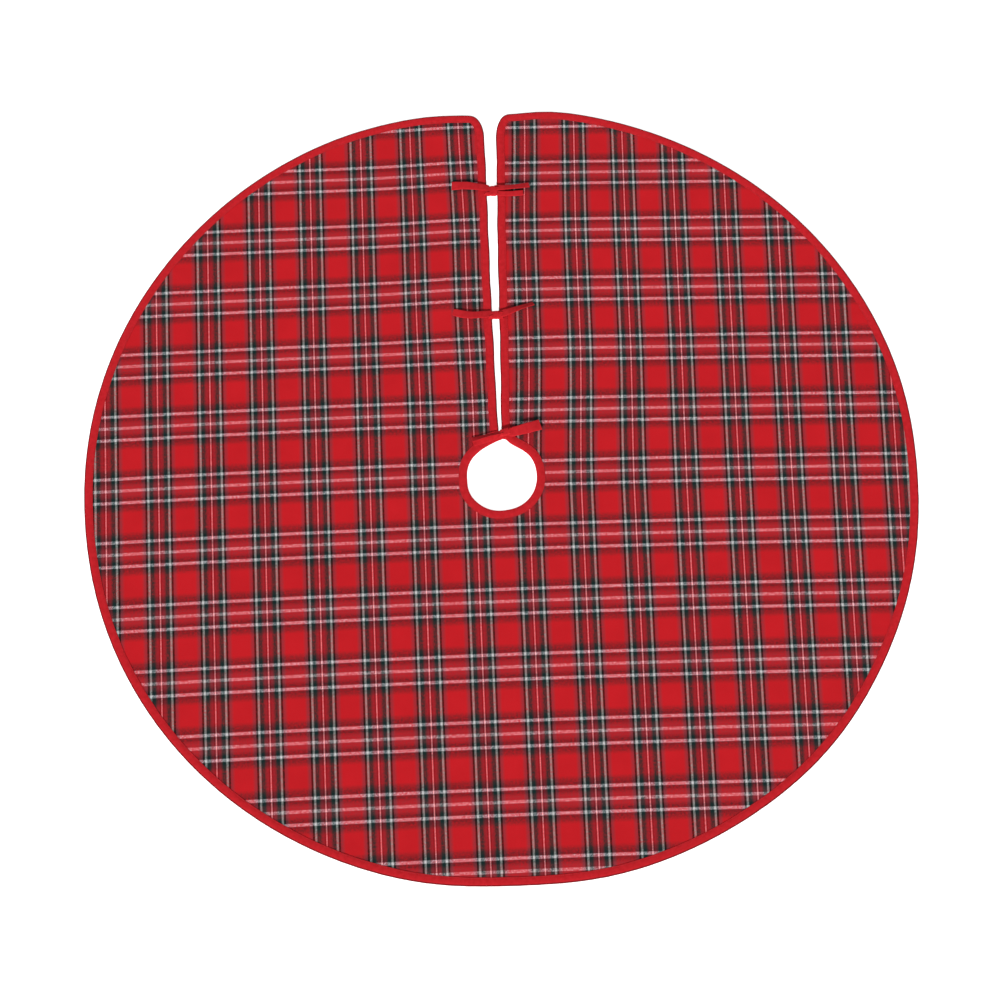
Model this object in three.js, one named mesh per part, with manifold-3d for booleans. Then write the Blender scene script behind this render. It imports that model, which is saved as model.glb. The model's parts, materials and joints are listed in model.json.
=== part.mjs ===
// Round tree skirt laid flat on the floor, in millimetres, +Z up.
// The origin is the centre of the trunk hole at floor level. +Y runs along the slit that
// opens the skirt from the trunk hole to the hem, and +X is to the right of the slit.
//
// Real pieces: a plaid face cloth, a plain lining, one folded binding strip round the hem and
// both slit edges, one round the neck whose ends become the neck ties, four sewn-in ties and
// the lockstitched thread. The cloth pieces are modelled in two halves that meet on the crease
// opposite the slit, because the skirt folds in half there.
import * as THREE from 'three';
import { mergeVertices } from 'three/addons/utils/BufferGeometryUtils.js';
import Module from 'manifold-3d';

const wasm = await Module();
wasm.setup();

// ---- Driving sizes ------------------------------------------------------------------------

const HEM_RADIUS = 609.6; // a 48 inch skirt
const NECK_RADIUS = 50.8; // a 4 inch trunk hole
const CORNER_RADIUS = 19; // round corner where each slit edge meets the hem
const CREASE_GAP = 0.3; // between the two halves, on the crease

// How far each slit edge stands from the centre line, at the neck and at the hem.
const SLIT = {
  left: { sign: -1, atNeck: 3.0, atHem: 17.0 },
  right: { sign: 1, atNeck: 1.3, atHem: 1.9 },
};

const FACE_THICKNESS = 0.6;
const LINING_THICKNESS = 0.4;
const BINDING_WIDTH = 12.7; // half inch, finished
const BINDING_LEG = 0.5; // one folded leg of the binding
const CLEARANCE = 0.3; // between two pieces that touch

const THREAD_WIDTH = 0.5;
const THREAD_HEIGHT = 0.3;
const SEAM_INSET = 1.5; // seam line to the inner fold of the binding

const STRAP_WIDTH = 10;
const STRAP_THICKNESS = 1.2;
const ROOT_WIDTH = 8; // a tie where it is sewn into the slit edge
const KNOT_LENGTH = 13;
const KNOT_WIDTH = 11;
const KNOT_HEIGHT = 5.2;
const KNOT_TO_END = 0.8; // room for a loose end to stand up beside its knot

const UPPER_TIE_Y = 470;
const MIDDLE_TIE_Y = 263;
const NECK_KNOT_X = 8;
const NECK_KNOT_RISE = 11.5; // above the outer edge of the neck binding
const NECK_ROOT_LENGTH = 27;
const NECK_ROOT_DIRECTIONS = { left: [-4, -3], right: [3, -4] }; // from the knot

// How far each loose end reaches from the middle of its knot, and its width at the knot and
// at its cut end.
const LOOSE_ENDS = {
  upper_tie_end_left: { reach: [-60, 5.5], widths: [STRAP_WIDTH, STRAP_WIDTH + 2] },
  upper_tie_end_right: { reach: [55, 3.5], widths: [STRAP_WIDTH - 1, STRAP_WIDTH] },
  middle_tie_end_left: { reach: [-63.5, 5], widths: [STRAP_WIDTH, STRAP_WIDTH] },
  middle_tie_end_right: { reach: [55.5, 17], widths: [STRAP_WIDTH, STRAP_WIDTH - 3] },
  neck_tie_end_left: { reach: [-50, -11], widths: [STRAP_WIDTH, STRAP_WIDTH + 2] },
  neck_tie_end_right: { reach: [52, 11], widths: [STRAP_WIDTH + 2, STRAP_WIDTH + 7] },
};
const FOLD_BACK_DROP = 12; // the upper right end is folded back beside itself
const FOLD_BACK_WIDTH = 8;

const HEM_STEPS = 48; // facets in half a turn
const CORNER_STEPS = 10;
const NECK_STEPS = 20;
const PAST = 20; // how far a cutting shape runs past what it cuts

// ---- Heights, from the floor up -----------------------------------------------------------

const LINING_BASE = BINDING_LEG + CLEARANCE;
const FACE_BASE = LINING_BASE + LINING_THICKNESS + CLEARANCE;
const BINDING_TOP = FACE_BASE + FACE_THICKNESS + CLEARANCE + BINDING_LEG;
const THREAD_BASE = BINDING_TOP + CLEARANCE;
const STRAP_BASE = THREAD_BASE + THREAD_HEIGHT + CLEARANCE;
const STRAP_TOP = STRAP_BASE + STRAP_THICKNESS;
const NECK_END_BASE = STRAP_TOP + CLEARANCE; // the neck ends lie over the neck roots
const ROOT_BASE = (BINDING_TOP - STRAP_THICKNESS) / 2;
const LOW_KNOT_BASE = ROOT_BASE + STRAP_THICKNESS + CLEARANCE;

const CLOTH_INSET = BINDING_LEG + CLEARANCE;
const NECK_BINDING_RADIUS = NECK_RADIUS + BINDING_WIDTH;
const NECK_KNOT = new THREE.Vector2(NECK_KNOT_X, NECK_BINDING_RADIUS + NECK_KNOT_RISE);

// ---- Materials ----------------------------------------------------------------------------

const cloth = (name, color, roughness) =>
  new THREE.MeshStandardMaterial({ name, color, roughness, metalness: 0 });
const plaidCloth = cloth('plaid_cloth', 0xb4232a, 0.9);
const liningCloth = cloth('lining_cloth', 0xa81d24, 0.92);
const biasTape = cloth('bias_tape', 0xc4202a, 0.8);
const sewingThread = cloth('sewing_thread', 0xb51a22, 0.6);

// ---- Solids -------------------------------------------------------------------------------

function toManifold(geometry) {
  const bare = geometry.clone();
  bare.deleteAttribute('normal');
  bare.deleteAttribute('uv');
  const merged = mergeVertices(bare, 1e-5);
  return new wasm.Manifold(new wasm.Mesh({
    numProp: 3,
    vertProperties: new Float32Array(merged.attributes.position.array),
    triVerts: new Uint32Array(merged.index.array),
  }));
}

function toGeometry(manifold) {
  const mesh = manifold.getMesh();
  const geometry = new THREE.BufferGeometry();
  geometry.setAttribute('position', new THREE.BufferAttribute(mesh.vertProperties, 3));
  geometry.setIndex(new THREE.BufferAttribute(mesh.triVerts, 1));
  geometry.computeVertexNormals();
  return geometry;
}

// A flat plate with the given outline, from one height to another.
function plate(outline, base, top) {
  const geometry = new THREE.ExtrudeGeometry(new THREE.Shape(outline), {
    depth: top - base,
    bevelEnabled: false,
  });
  return geometry.translate(0, 0, base);
}

function cutPlate(body, ...cutters) {
  const solid = cutters.reduce((left, cutter) => left.subtract(toManifold(cutter)), toManifold(body));
  return toGeometry(solid);
}

// ---- Outlines -----------------------------------------------------------------------------

// An arc in facets that start and stop on whole steps, so that the facets of nested outlines
// line up. Steps are counted for half a turn.
function arc(centre, radius, from, to, steps) {
  const step = Math.PI / steps;
  const turn = Math.sign(to - from);
  const angles = [from];
  for (let k = turn * Math.floor((turn * from) / step + 1); turn * (to - k * step) > 1e-6; k += turn) {
    angles.push(k * step);
  }
  angles.push(to);
  return angles.map((angle) => new THREE.Vector2(
    centre.x + radius * Math.cos(angle),
    centre.y + radius * Math.sin(angle),
  ));
}

// Where a line from start along a unit direction leaves a circle about the origin.
function meetCircle(start, along, radius) {
  const forward = start.dot(along);
  const travel = Math.sqrt(forward ** 2 - start.lengthSq() + radius ** 2) - forward;
  return start.clone().addScaledVector(along, travel);
}

// The slit edge of a half, moved inwards by an inset, drawn as if on the right-hand side.
function slitEdge(half, inset) {
  const foot = new THREE.Vector2(half.atNeck, NECK_RADIUS);
  const top = new THREE.Vector2(half.atHem, HEM_RADIUS);
  const along = top.sub(foot).normalize();
  const inward = new THREE.Vector2(along.y, -along.x);
  return { start: foot.addScaledVector(inward, inset), along, inward };
}

const onSide = (half, points) => points.map((p) => new THREE.Vector2(half.sign * p.x, p.y));

// One half of the skirt: hem arc, round corner, slit edge, neck arc and crease. Each inset
// moves its edge into the cloth.
function halfOutline(half, { hem = 0, slit = 0, neck = 0, crease = CREASE_GAP / 2 }) {
  const origin = new THREE.Vector2();
  const outer = HEM_RADIUS - hem;
  const inner = NECK_RADIUS + neck;
  const round = Math.max(CORNER_RADIUS - hem, THREAD_WIDTH);
  const { start, along, inward } = slitEdge(half, slit);
  const cornerLine = start.clone().addScaledVector(inward, round);
  const corner = meetCircle(cornerLine, along, outer - round);
  const foot = meetCircle(start, along, inner);
  const outward = inward.clone().negate();
  return onSide(half, [
    ...arc(origin, outer, -Math.acos(crease / outer), corner.angle(), HEM_STEPS),
    ...arc(corner, round, corner.angle(), outward.angle(), CORNER_STEPS).slice(1),
    ...arc(origin, inner, foot.angle(), -Math.acos(crease / inner), NECK_STEPS),
  ]);
}

// One half of a ring round the trunk hole, from the crease to the slit edge.
function ringOutline(half, inner, outer, { slit = 0, crease = CREASE_GAP / 2 }) {
  const origin = new THREE.Vector2();
  const { start, along } = slitEdge(half, slit);
  const outerFoot = meetCircle(start, along, outer);
  const innerFoot = meetCircle(start, along, inner);
  return onSide(half, [
    ...arc(origin, outer, -Math.acos(crease / outer), outerFoot.angle(), NECK_STEPS),
    ...arc(origin, inner, innerFoot.angle(), -Math.acos(crease / inner), NECK_STEPS),
  ]);
}

// A straight strip between two points, with a width at each.
function stripOutline(from, to, [fromWidth, toWidth]) {
  const along = to.clone().sub(from).normalize();
  const across = new THREE.Vector2(-along.y, along.x);
  return [
    from.clone().addScaledVector(across, -fromWidth / 2),
    to.clone().addScaledVector(across, -toWidth / 2),
    to.clone().addScaledVector(across, toWidth / 2),
    from.clone().addScaledVector(across, fromWidth / 2),
  ];
}

// ---- Cloth, bindings and seams ------------------------------------------------------------

function clothPanel(half, base, thickness) {
  const inset = CLOTH_INSET;
  const outline = halfOutline(half, { hem: inset, slit: inset, neck: inset });
  return plate(outline, base, base + thickness);
}

// The folded strip that wraps the hem, the corner and the slit edge.
function edgeBinding(half) {
  const wrapped = halfOutline(half, { neck: BINDING_WIDTH + CLEARANCE });
  const past = { neck: -PAST, crease: -PAST };
  const fold = halfOutline(half, { hem: BINDING_LEG, slit: BINDING_LEG, ...past });
  const inside = halfOutline(half, { hem: BINDING_WIDTH, slit: BINDING_WIDTH, ...past });
  return cutPlate(
    plate(wrapped, 0, BINDING_TOP),
    plate(fold, BINDING_LEG, BINDING_TOP - BINDING_LEG),
    plate(inside, -PAST, PAST),
  );
}

// The folded strip that wraps the edge of the trunk hole.
function neckBinding(half) {
  const wrapped = ringOutline(half, NECK_RADIUS, NECK_BINDING_RADIUS, {});
  const fold = ringOutline(half, NECK_RADIUS + BINDING_LEG, NECK_BINDING_RADIUS + PAST, {
    slit: -PAST,
    crease: -PAST,
  });
  return cutPlate(
    plate(wrapped, 0, BINDING_TOP),
    plate(fold, BINDING_LEG, BINDING_TOP - BINDING_LEG),
  );
}

function edgeSeam(half) {
  const outside = BINDING_WIDTH - SEAM_INSET - THREAD_WIDTH / 2;
  const inside = outside + THREAD_WIDTH;
  const line = halfOutline(half, { hem: outside, slit: outside, neck: BINDING_WIDTH + CLEARANCE });
  const rest = halfOutline(half, { hem: inside, slit: inside, neck: -PAST, crease: -PAST });
  return cutPlate(
    plate(line, THREAD_BASE, THREAD_BASE + THREAD_HEIGHT),
    plate(rest, -PAST, PAST),
  );
}

function neckSeam(half) {
  const outer = NECK_BINDING_RADIUS - SEAM_INSET + THREAD_WIDTH / 2;
  const outline = ringOutline(half, outer - THREAD_WIDTH, outer, {});
  return plate(outline, THREAD_BASE, THREAD_BASE + THREAD_HEIGHT);
}

// ---- Ties ---------------------------------------------------------------------------------

// How far from the centre line a slit edge stands at height y up the slit.
function slitEdgeX(half, y) {
  const share = (y - NECK_RADIUS) / (HEM_RADIUS - NECK_RADIUS);
  return half.sign * THREE.MathUtils.lerp(half.atNeck, half.atHem, share);
}

// A knot in the slit stands over the middle of the gap.
function slitKnot(y) {
  return new THREE.Vector2((slitEdgeX(SLIT.left, y) + slitEdgeX(SLIT.right, y)) / 2, y);
}

const KNOTS = {
  upper: slitKnot(UPPER_TIE_Y),
  middle: slitKnot(MIDDLE_TIE_Y),
  neck: NECK_KNOT,
};

function knot(centre, base) {
  return new THREE.SphereGeometry(1, 16, 10)
    .rotateX(Math.PI / 2)
    .scale(KNOT_LENGTH / 2, KNOT_WIDTH / 2, KNOT_HEIGHT / 2)
    .translate(centre.x, centre.y, base + KNOT_HEIGHT / 2);
}

// The sewn end of a tie, from the slit edge to under the knot.
function slitRoot(half, centre) {
  const edge = new THREE.Vector2(slitEdgeX(half, centre.y) - half.sign * CLEARANCE, centre.y);
  const under = new THREE.Vector2(centre.x + half.sign * CLEARANCE / 2, centre.y);
  const outline = stripOutline(edge, under, [ROOT_WIDTH, ROOT_WIDTH]);
  return plate(outline, ROOT_BASE, ROOT_BASE + STRAP_THICKNESS);
}

// The end of the neck binding, from where it leaves the ring to where it meets the neck knot,
// which is narrower at the top of the strip than at its own middle. The two ends stand square
// to each other, so half a strip's width from the middle of the knot keeps them apart.
function neckRoot(side) {
  const away = new THREE.Vector2(...NECK_ROOT_DIRECTIONS[side]).normalize();
  const rim = 1 / Math.hypot((2 * away.x) / KNOT_LENGTH, (2 * away.y) / KNOT_WIDTH);
  const section = Math.sqrt(1 - (1 - (2 * STRAP_THICKNESS) / KNOT_HEIGHT) ** 2);
  const seat = Math.max(rim * section, STRAP_WIDTH / 2) + CLEARANCE;
  const to = NECK_KNOT.clone().addScaledVector(away, seat);
  const from = to.clone().addScaledVector(away, NECK_ROOT_LENGTH);
  return plate(stripOutline(from, to, [STRAP_WIDTH, STRAP_WIDTH]), STRAP_BASE, STRAP_TOP);
}

const tipOf = (name, centre) => centre.clone().add(new THREE.Vector2(...LOOSE_ENDS[name].reach));

// A loose end starts beside its knot, where it hinges, and lies flat to its cut end.
function looseEnd(name, centre, base) {
  const tip = tipOf(name, centre);
  const side = Math.sign(tip.x - centre.x);
  const from = new THREE.Vector2(centre.x + side * (KNOT_LENGTH / 2 + KNOT_TO_END), centre.y);
  const outline = stripOutline(from, tip, LOOSE_ENDS[name].widths);
  return plate(outline, base, base + STRAP_THICKNESS);
}

// A loose end that runs out, turns over at its tip and comes back beside itself.
function foldedEnd(name, centre, base) {
  const tip = tipOf(name, centre);
  const turn = new THREE.Vector2(tip.x - FOLD_BACK_WIDTH, tip.y);
  const back = new THREE.Vector2(turn.x, tip.y - FOLD_BACK_DROP);
  const start = new THREE.Vector2(centre.x + KNOT_LENGTH, back.y);
  const widths = [FOLD_BACK_WIDTH, FOLD_BACK_WIDTH];
  const strips = [stripOutline(turn, back, widths), stripOutline(start, back, widths)];
  const layers = strips.map((strip) => toManifold(plate(strip, base, base + STRAP_THICKNESS)));
  const out = toManifold(looseEnd(name, centre, base));
  return toGeometry(layers.reduce((joined, layer) => joined.add(layer), out));
}

// ---- Scene --------------------------------------------------------------------------------

const group = new THREE.Group();

function add(name, geometry, material) {
  const mesh = new THREE.Mesh(geometry, material);
  mesh.name = name;
  group.add(mesh);
}

for (const [side, half] of Object.entries(SLIT)) {
  add(`lining_${side}`, clothPanel(half, LINING_BASE, LINING_THICKNESS), liningCloth);
  add(`face_cloth_${side}`, clothPanel(half, FACE_BASE, FACE_THICKNESS), plaidCloth);
  add(`edge_binding_${side}`, edgeBinding(half), biasTape);
  add(`neck_binding_${side}`, neckBinding(half), biasTape);
  add(`edge_seam_${side}`, edgeSeam(half), sewingThread);
  add(`neck_seam_${side}`, neckSeam(half), sewingThread);
}

for (const tie of ['upper', 'middle']) {
  add(`${tie}_knot`, knot(KNOTS[tie], LOW_KNOT_BASE), biasTape);
  for (const [side, half] of Object.entries(SLIT)) {
    add(`${tie}_tie_root_${side}`, slitRoot(half, KNOTS[tie]), biasTape);
  }
}

add('neck_knot', knot(KNOTS.neck, STRAP_BASE), biasTape);
for (const side of Object.keys(SLIT)) {
  add(`neck_tie_root_${side}`, neckRoot(side), biasTape);
}

add('upper_tie_end_left', looseEnd('upper_tie_end_left', KNOTS.upper, STRAP_BASE), biasTape);
add('upper_tie_end_right', foldedEnd('upper_tie_end_right', KNOTS.upper, STRAP_BASE), biasTape);
add('middle_tie_end_left', looseEnd('middle_tie_end_left', KNOTS.middle, STRAP_BASE), biasTape);
add('middle_tie_end_right', looseEnd('middle_tie_end_right', KNOTS.middle, STRAP_BASE), biasTape);
add('neck_tie_end_left', looseEnd('neck_tie_end_left', KNOTS.neck, NECK_END_BASE), biasTape);
add('neck_tie_end_right', looseEnd('neck_tie_end_right', KNOTS.neck, NECK_END_BASE), biasTape);

export default group;
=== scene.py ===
"""Looks of a round plaid tree skirt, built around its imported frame.

The skirt lies flat: a twill face cloth on a plain lining, bound round the hem, the slit and
the trunk hole with red tape, and closed up the slit with three pairs of knotted ties. Plans
are in metres, +Z up, with the slit along +Y.
"""

import json
import logging
import math
from dataclasses import dataclass, field
from enum import Enum

import bpy
import numpy as np
from mathutils import Matrix, Vector, noise
from mathutils.geometry import delaunay_2d_cdt
from mathutils.kdtree import KDTree

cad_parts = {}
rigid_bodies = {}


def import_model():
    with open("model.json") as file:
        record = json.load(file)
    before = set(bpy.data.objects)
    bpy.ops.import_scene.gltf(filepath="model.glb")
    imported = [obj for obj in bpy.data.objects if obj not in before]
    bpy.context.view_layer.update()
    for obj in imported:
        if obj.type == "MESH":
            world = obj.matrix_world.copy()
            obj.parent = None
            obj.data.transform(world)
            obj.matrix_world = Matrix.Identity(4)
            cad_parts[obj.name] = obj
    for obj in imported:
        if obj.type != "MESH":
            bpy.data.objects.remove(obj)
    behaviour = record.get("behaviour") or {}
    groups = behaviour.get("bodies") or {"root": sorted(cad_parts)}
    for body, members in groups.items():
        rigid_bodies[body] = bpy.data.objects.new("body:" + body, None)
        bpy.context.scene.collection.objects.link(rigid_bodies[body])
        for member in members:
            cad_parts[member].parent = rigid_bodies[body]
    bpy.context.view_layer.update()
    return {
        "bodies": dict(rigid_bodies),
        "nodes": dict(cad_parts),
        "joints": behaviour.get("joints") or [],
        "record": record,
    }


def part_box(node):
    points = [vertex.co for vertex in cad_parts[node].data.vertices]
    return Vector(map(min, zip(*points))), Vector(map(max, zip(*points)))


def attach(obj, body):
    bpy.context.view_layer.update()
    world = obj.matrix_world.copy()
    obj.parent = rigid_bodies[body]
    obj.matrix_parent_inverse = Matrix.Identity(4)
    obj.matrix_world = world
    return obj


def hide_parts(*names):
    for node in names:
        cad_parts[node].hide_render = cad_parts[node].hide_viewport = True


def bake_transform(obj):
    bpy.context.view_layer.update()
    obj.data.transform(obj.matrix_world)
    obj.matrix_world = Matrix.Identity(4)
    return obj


LOG = logging.getLogger("tree_skirt")
MM = 0.001


class Side(Enum):
    """The two sides of the slit, by the sign of X."""

    LEFT = -1
    RIGHT = 1

    @property
    def half(self) -> str:
        """Name of the body that this side of the skirt rides on."""
        return f"{self.name.lower()}_half"


# ---- Small tools --------------------------------------------------------------------------


def linear(hex_colour: str) -> tuple[float, float, float, float]:
    """Turns an sRGB hex colour to linear light.

    Args:
        hex_colour: Six hex digits after a hash.

    Returns:
        Linear red, green, blue and an alpha of 1.
    """
    channels = [int(hex_colour[i : i + 2], 16) / 255 for i in (1, 3, 5)]
    return (*(c / 12.92 if c <= 0.04045 else ((c + 0.055) / 1.055) ** 2.4 for c in channels), 1.0)


def add_node(
    tree: bpy.types.NodeTree, kind: str, inputs: dict | None = None, **settings: object
) -> bpy.types.Node:
    """Adds one node with its settings, and links or sets its inputs.

    Args:
        tree: The node tree.
        kind: The node's type name.
        inputs: Socket name or index to an output socket, which is linked, or to a value.
        **settings: Properties of the node.

    Returns:
        The new node.
    """
    node = tree.nodes.new(kind)
    for name, value in settings.items():
        setattr(node, name, value)
    for socket, value in (inputs or {}).items():
        if isinstance(value, bpy.types.NodeSocket):
            tree.links.new(value, node.inputs[socket])
        else:
            node.inputs[socket].default_value = value
    return node


def bump_at(value: np.ndarray, centre: float, spread: float) -> np.ndarray:
    """A smooth hump of height 1 at centre that fades over spread."""
    return np.exp(-(((value - centre) / spread) ** 2))


def humps_round(turn: np.ndarray, humps: tuple[tuple[float, float, float], ...]) -> np.ndarray:
    """Smooth humps round a circle, added up.

    Args:
        turn: Directions in degrees.
        humps: Height, direction and spread of each hump, the last two in degrees.

    Returns:
        The height in each direction.
    """
    return sum(height * bump_at((turn - at + 180) % 360, 180, spread) for height, at, spread in humps)


def smooth_step(value: np.ndarray, low: float, high: float) -> np.ndarray:
    """Goes smoothly from 0 at low to 1 at high."""
    share = np.clip((value - low) / (high - low), 0, 1)
    return share * share * (3 - 2 * share)


def unit(vectors: np.ndarray) -> np.ndarray:
    """Each vector scaled to length 1."""
    return vectors / np.maximum(np.linalg.norm(vectors, axis=-1, keepdims=True), 1e-12)


def length_along(points: np.ndarray) -> np.ndarray:
    """Distance along a polyline to each of its points."""
    return np.concatenate([[0], np.cumsum(np.linalg.norm(np.diff(points, axis=0), axis=1))])


def broadened(wave: np.ndarray, power: float) -> np.ndarray:
    """A wave from -1 to 1 with its crests broadened, for the section of a flat tape."""
    return np.sign(wave) * np.abs(wave) ** power


def spaced(points: np.ndarray, step: float) -> np.ndarray:
    """A polyline again, with points a step apart.

    Args:
        points: Points of the line, one a row.
        step: Wanted distance between points.

    Returns:
        The points of the new line.
    """
    along = length_along(points)
    at = np.linspace(0, along[-1], max(2, round(along[-1] / step) + 1))
    return np.stack([np.interp(at, along, points[:, k]) for k in range(points.shape[1])], axis=1)


def softened(points: np.ndarray, reach: int) -> np.ndarray:
    """A polyline with its corners rounded by averaging over reach points each way, ends kept.

    Args:
        points: Points of the line, one a row.
        reach: How many points each way are averaged.

    Returns:
        The points of the softer line.
    """
    before = 2 * points[:1] - points[reach:0:-1]
    after = 2 * points[-1:] - points[-2 : -reach - 2 : -1]
    padded = np.concatenate([before, points, after])
    weights = np.hanning(2 * reach + 3)[1:-1]
    weights /= weights.sum()
    return np.stack([np.convolve(column, weights, "valid") for column in padded.T], axis=1)


def through(points: list[tuple[float, ...]], count: int) -> np.ndarray:
    """A smooth curve through given points.

    Args:
        points: The points, with any further values after each place, such as a width.
        count: How many points the curve gets.

    Returns:
        Points of a Catmull-Rom curve, one a row.
    """
    p = np.array(points, float)
    p = np.concatenate([2 * p[:1] - p[1:2], p, 2 * p[-1:] - p[-2:-1]])
    at = np.linspace(0, len(p) - 3 - 1e-9, count)
    i, t = at.astype(int), (at % 1)[:, None]
    a, b, c, d = (p[i + k] for k in range(4))
    square, cube = 2 * a - 5 * b + 4 * c - d, 3 * b - a - 3 * c + d
    return 0.5 * (2 * b + (c - a) * t + square * t**2 + cube * t**3)


def ripple(points: np.ndarray, scale: float, seed: float) -> np.ndarray:
    """Smooth noise between about -1 and 1 at each point, for features about scale across.

    Args:
        points: Places, in two or three coordinates.
        scale: Size of the features, in metres.
        seed: Which noise it is.

    Returns:
        The noise at each place.
    """
    offset = Vector((seed, 2.3 * seed, -1.7 * seed))
    rows = np.zeros((len(points), 3))
    rows[:, : points.shape[1]] = points / scale
    return np.array([noise.noise(Vector(row) + offset) for row in rows])


def placed(name: str, data: bpy.types.ID) -> bpy.types.Object:
    """A new object with this data, linked into the scene.

    Args:
        name: The object's name.
        data: Its mesh, curve, camera or light.

    Returns:
        The object.
    """
    made = bpy.data.objects.new(name, data)
    bpy.context.scene.collection.objects.link(made)
    return made


def make_piece(
    name: str, points: np.ndarray, faces: list, maps: dict[str, np.ndarray] | None = None
) -> bpy.types.Object:
    """Makes a smooth-shaded mesh object at the origin.

    Args:
        name: The piece's name.
        points: Its points, in metres.
        faces: Its faces, as lists of point numbers.
        maps: UV map names to a coordinate pair for each point.

    Returns:
        The new object, linked into the scene.
    """
    mesh = bpy.data.meshes.new(name)
    mesh.from_pydata([tuple(p) for p in points], [], [tuple(int(i) for i in f) for f in faces])
    corners = np.zeros(len(mesh.loops), np.int32)
    mesh.loops.foreach_get("vertex_index", corners)
    for map_name, pairs in (maps or {}).items():
        layer = mesh.uv_layers.new(name=map_name)
        layer.data.foreach_set("uv", np.asarray(pairs, np.float32)[corners].ravel())
    mesh.shade_smooth()
    mesh.validate()
    return placed(name, mesh)


def dressed(piece: bpy.types.Object, material: bpy.types.Material) -> bpy.types.Object:
    """Gives a piece its finish."""
    piece.data.materials.append(material)
    return piece


def tube_faces(rings: int, sides: int, first: int = 0) -> list[tuple[int, ...]]:
    """Faces of a closed tube: quads between the rings and a flat cap at each end.

    Args:
        rings: How many rings of points the tube has.
        sides: Points in each ring, in order.
        first: Number of the tube's first point.

    Returns:
        The faces, facing out where rings turn anticlockwise seen from the tube's far end.
    """
    faces = []
    for i in range(rings - 1):
        for k in range(sides):
            a, b = first + i * sides + k, first + i * sides + (k + 1) % sides
            faces.append((a, b, b + sides, a + sides))
    last = first + (rings - 1) * sides
    faces.append(tuple(range(first + sides - 1, first - 1, -1)))
    faces.append(tuple(range(last, last + sides)))
    return faces


def facing_out(piece: bpy.types.Object) -> bpy.types.Object:
    """Turns the faces of a closed piece outwards, if its volume says that they point in.

    Args:
        piece: A closed piece.

    Returns:
        The same piece.
    """
    mesh = piece.data
    points = np.array([v.co for v in mesh.vertices], float)
    mesh.calc_loop_triangles()
    corners = np.array([t.vertices for t in mesh.loop_triangles])
    a, b, c = (points[corners[:, k]] for k in range(3))
    if (a * np.cross(b, c)).sum() < 0:
        mesh.flip_normals()
    return piece


# ---- Finishes -----------------------------------------------------------------------------


def new_material(name: str) -> tuple[bpy.types.Material, bpy.types.NodeTree, bpy.types.Node]:
    """A new material, with its node tree and its shader.

    Args:
        name: The material's name.

    Returns:
        The material, its node tree and its Principled shader.
    """
    made = bpy.data.materials.new(name)
    made.use_nodes = True
    return made, made.node_tree, made.node_tree.nodes["Principled BSDF"]


@dataclass(frozen=True)
class Sett:
    """Colours of one set of yarns over half a repeat, from the middle of its motif.

    Attributes:
        repeat: Width of one repeat of the pattern, in metres.
        middle: Where the motif's middle stands in a repeat, as a share of it.
        stops: Distance from the middle as a share of a repeat, and the yarn's colour there.
    """

    repeat: float
    middle: float
    stops: tuple[tuple[float, str], ...]


WARP = Sett(
    repeat=76.9 * MM,
    middle=0.497,
    stops=(
        (0.0000, "#fa9296"), (0.0100, "#fa9296"), (0.0140, "#7a1018"), (0.0330, "#7a1018"),
        (0.0420, "#86242c"), (0.0700, "#86242c"), (0.1150, "#162e2c"), (0.1720, "#162e2c"),
        (0.1830, "#a0a6a1"), (0.2110, "#a0a6a1"), (0.2200, "#1c1210"), (0.2500, "#1c1210"),
        (0.2640, "#8c353e"), (0.2850, "#8c353e"), (0.3400, "#c81c24"), (0.5000, "#c81c24"),
    ),
)
WEFT = Sett(
    repeat=97.8 * MM,
    middle=0.997,
    stops=(
        (0.0000, "#ffdbe1"), (0.0190, "#ffdbe1"), (0.0260, "#8a383e"), (0.0650, "#8a383e"),
        (0.1250, "#202527"), (0.1630, "#202527"), (0.1720, "#fff6ff"), (0.2060, "#fff6ff"),
        (0.2160, "#202527"), (0.2450, "#202527"), (0.3000, "#5a2a2b"), (0.3550, "#c42329"),
        (0.5000, "#c42329"),
    ),
)


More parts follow.
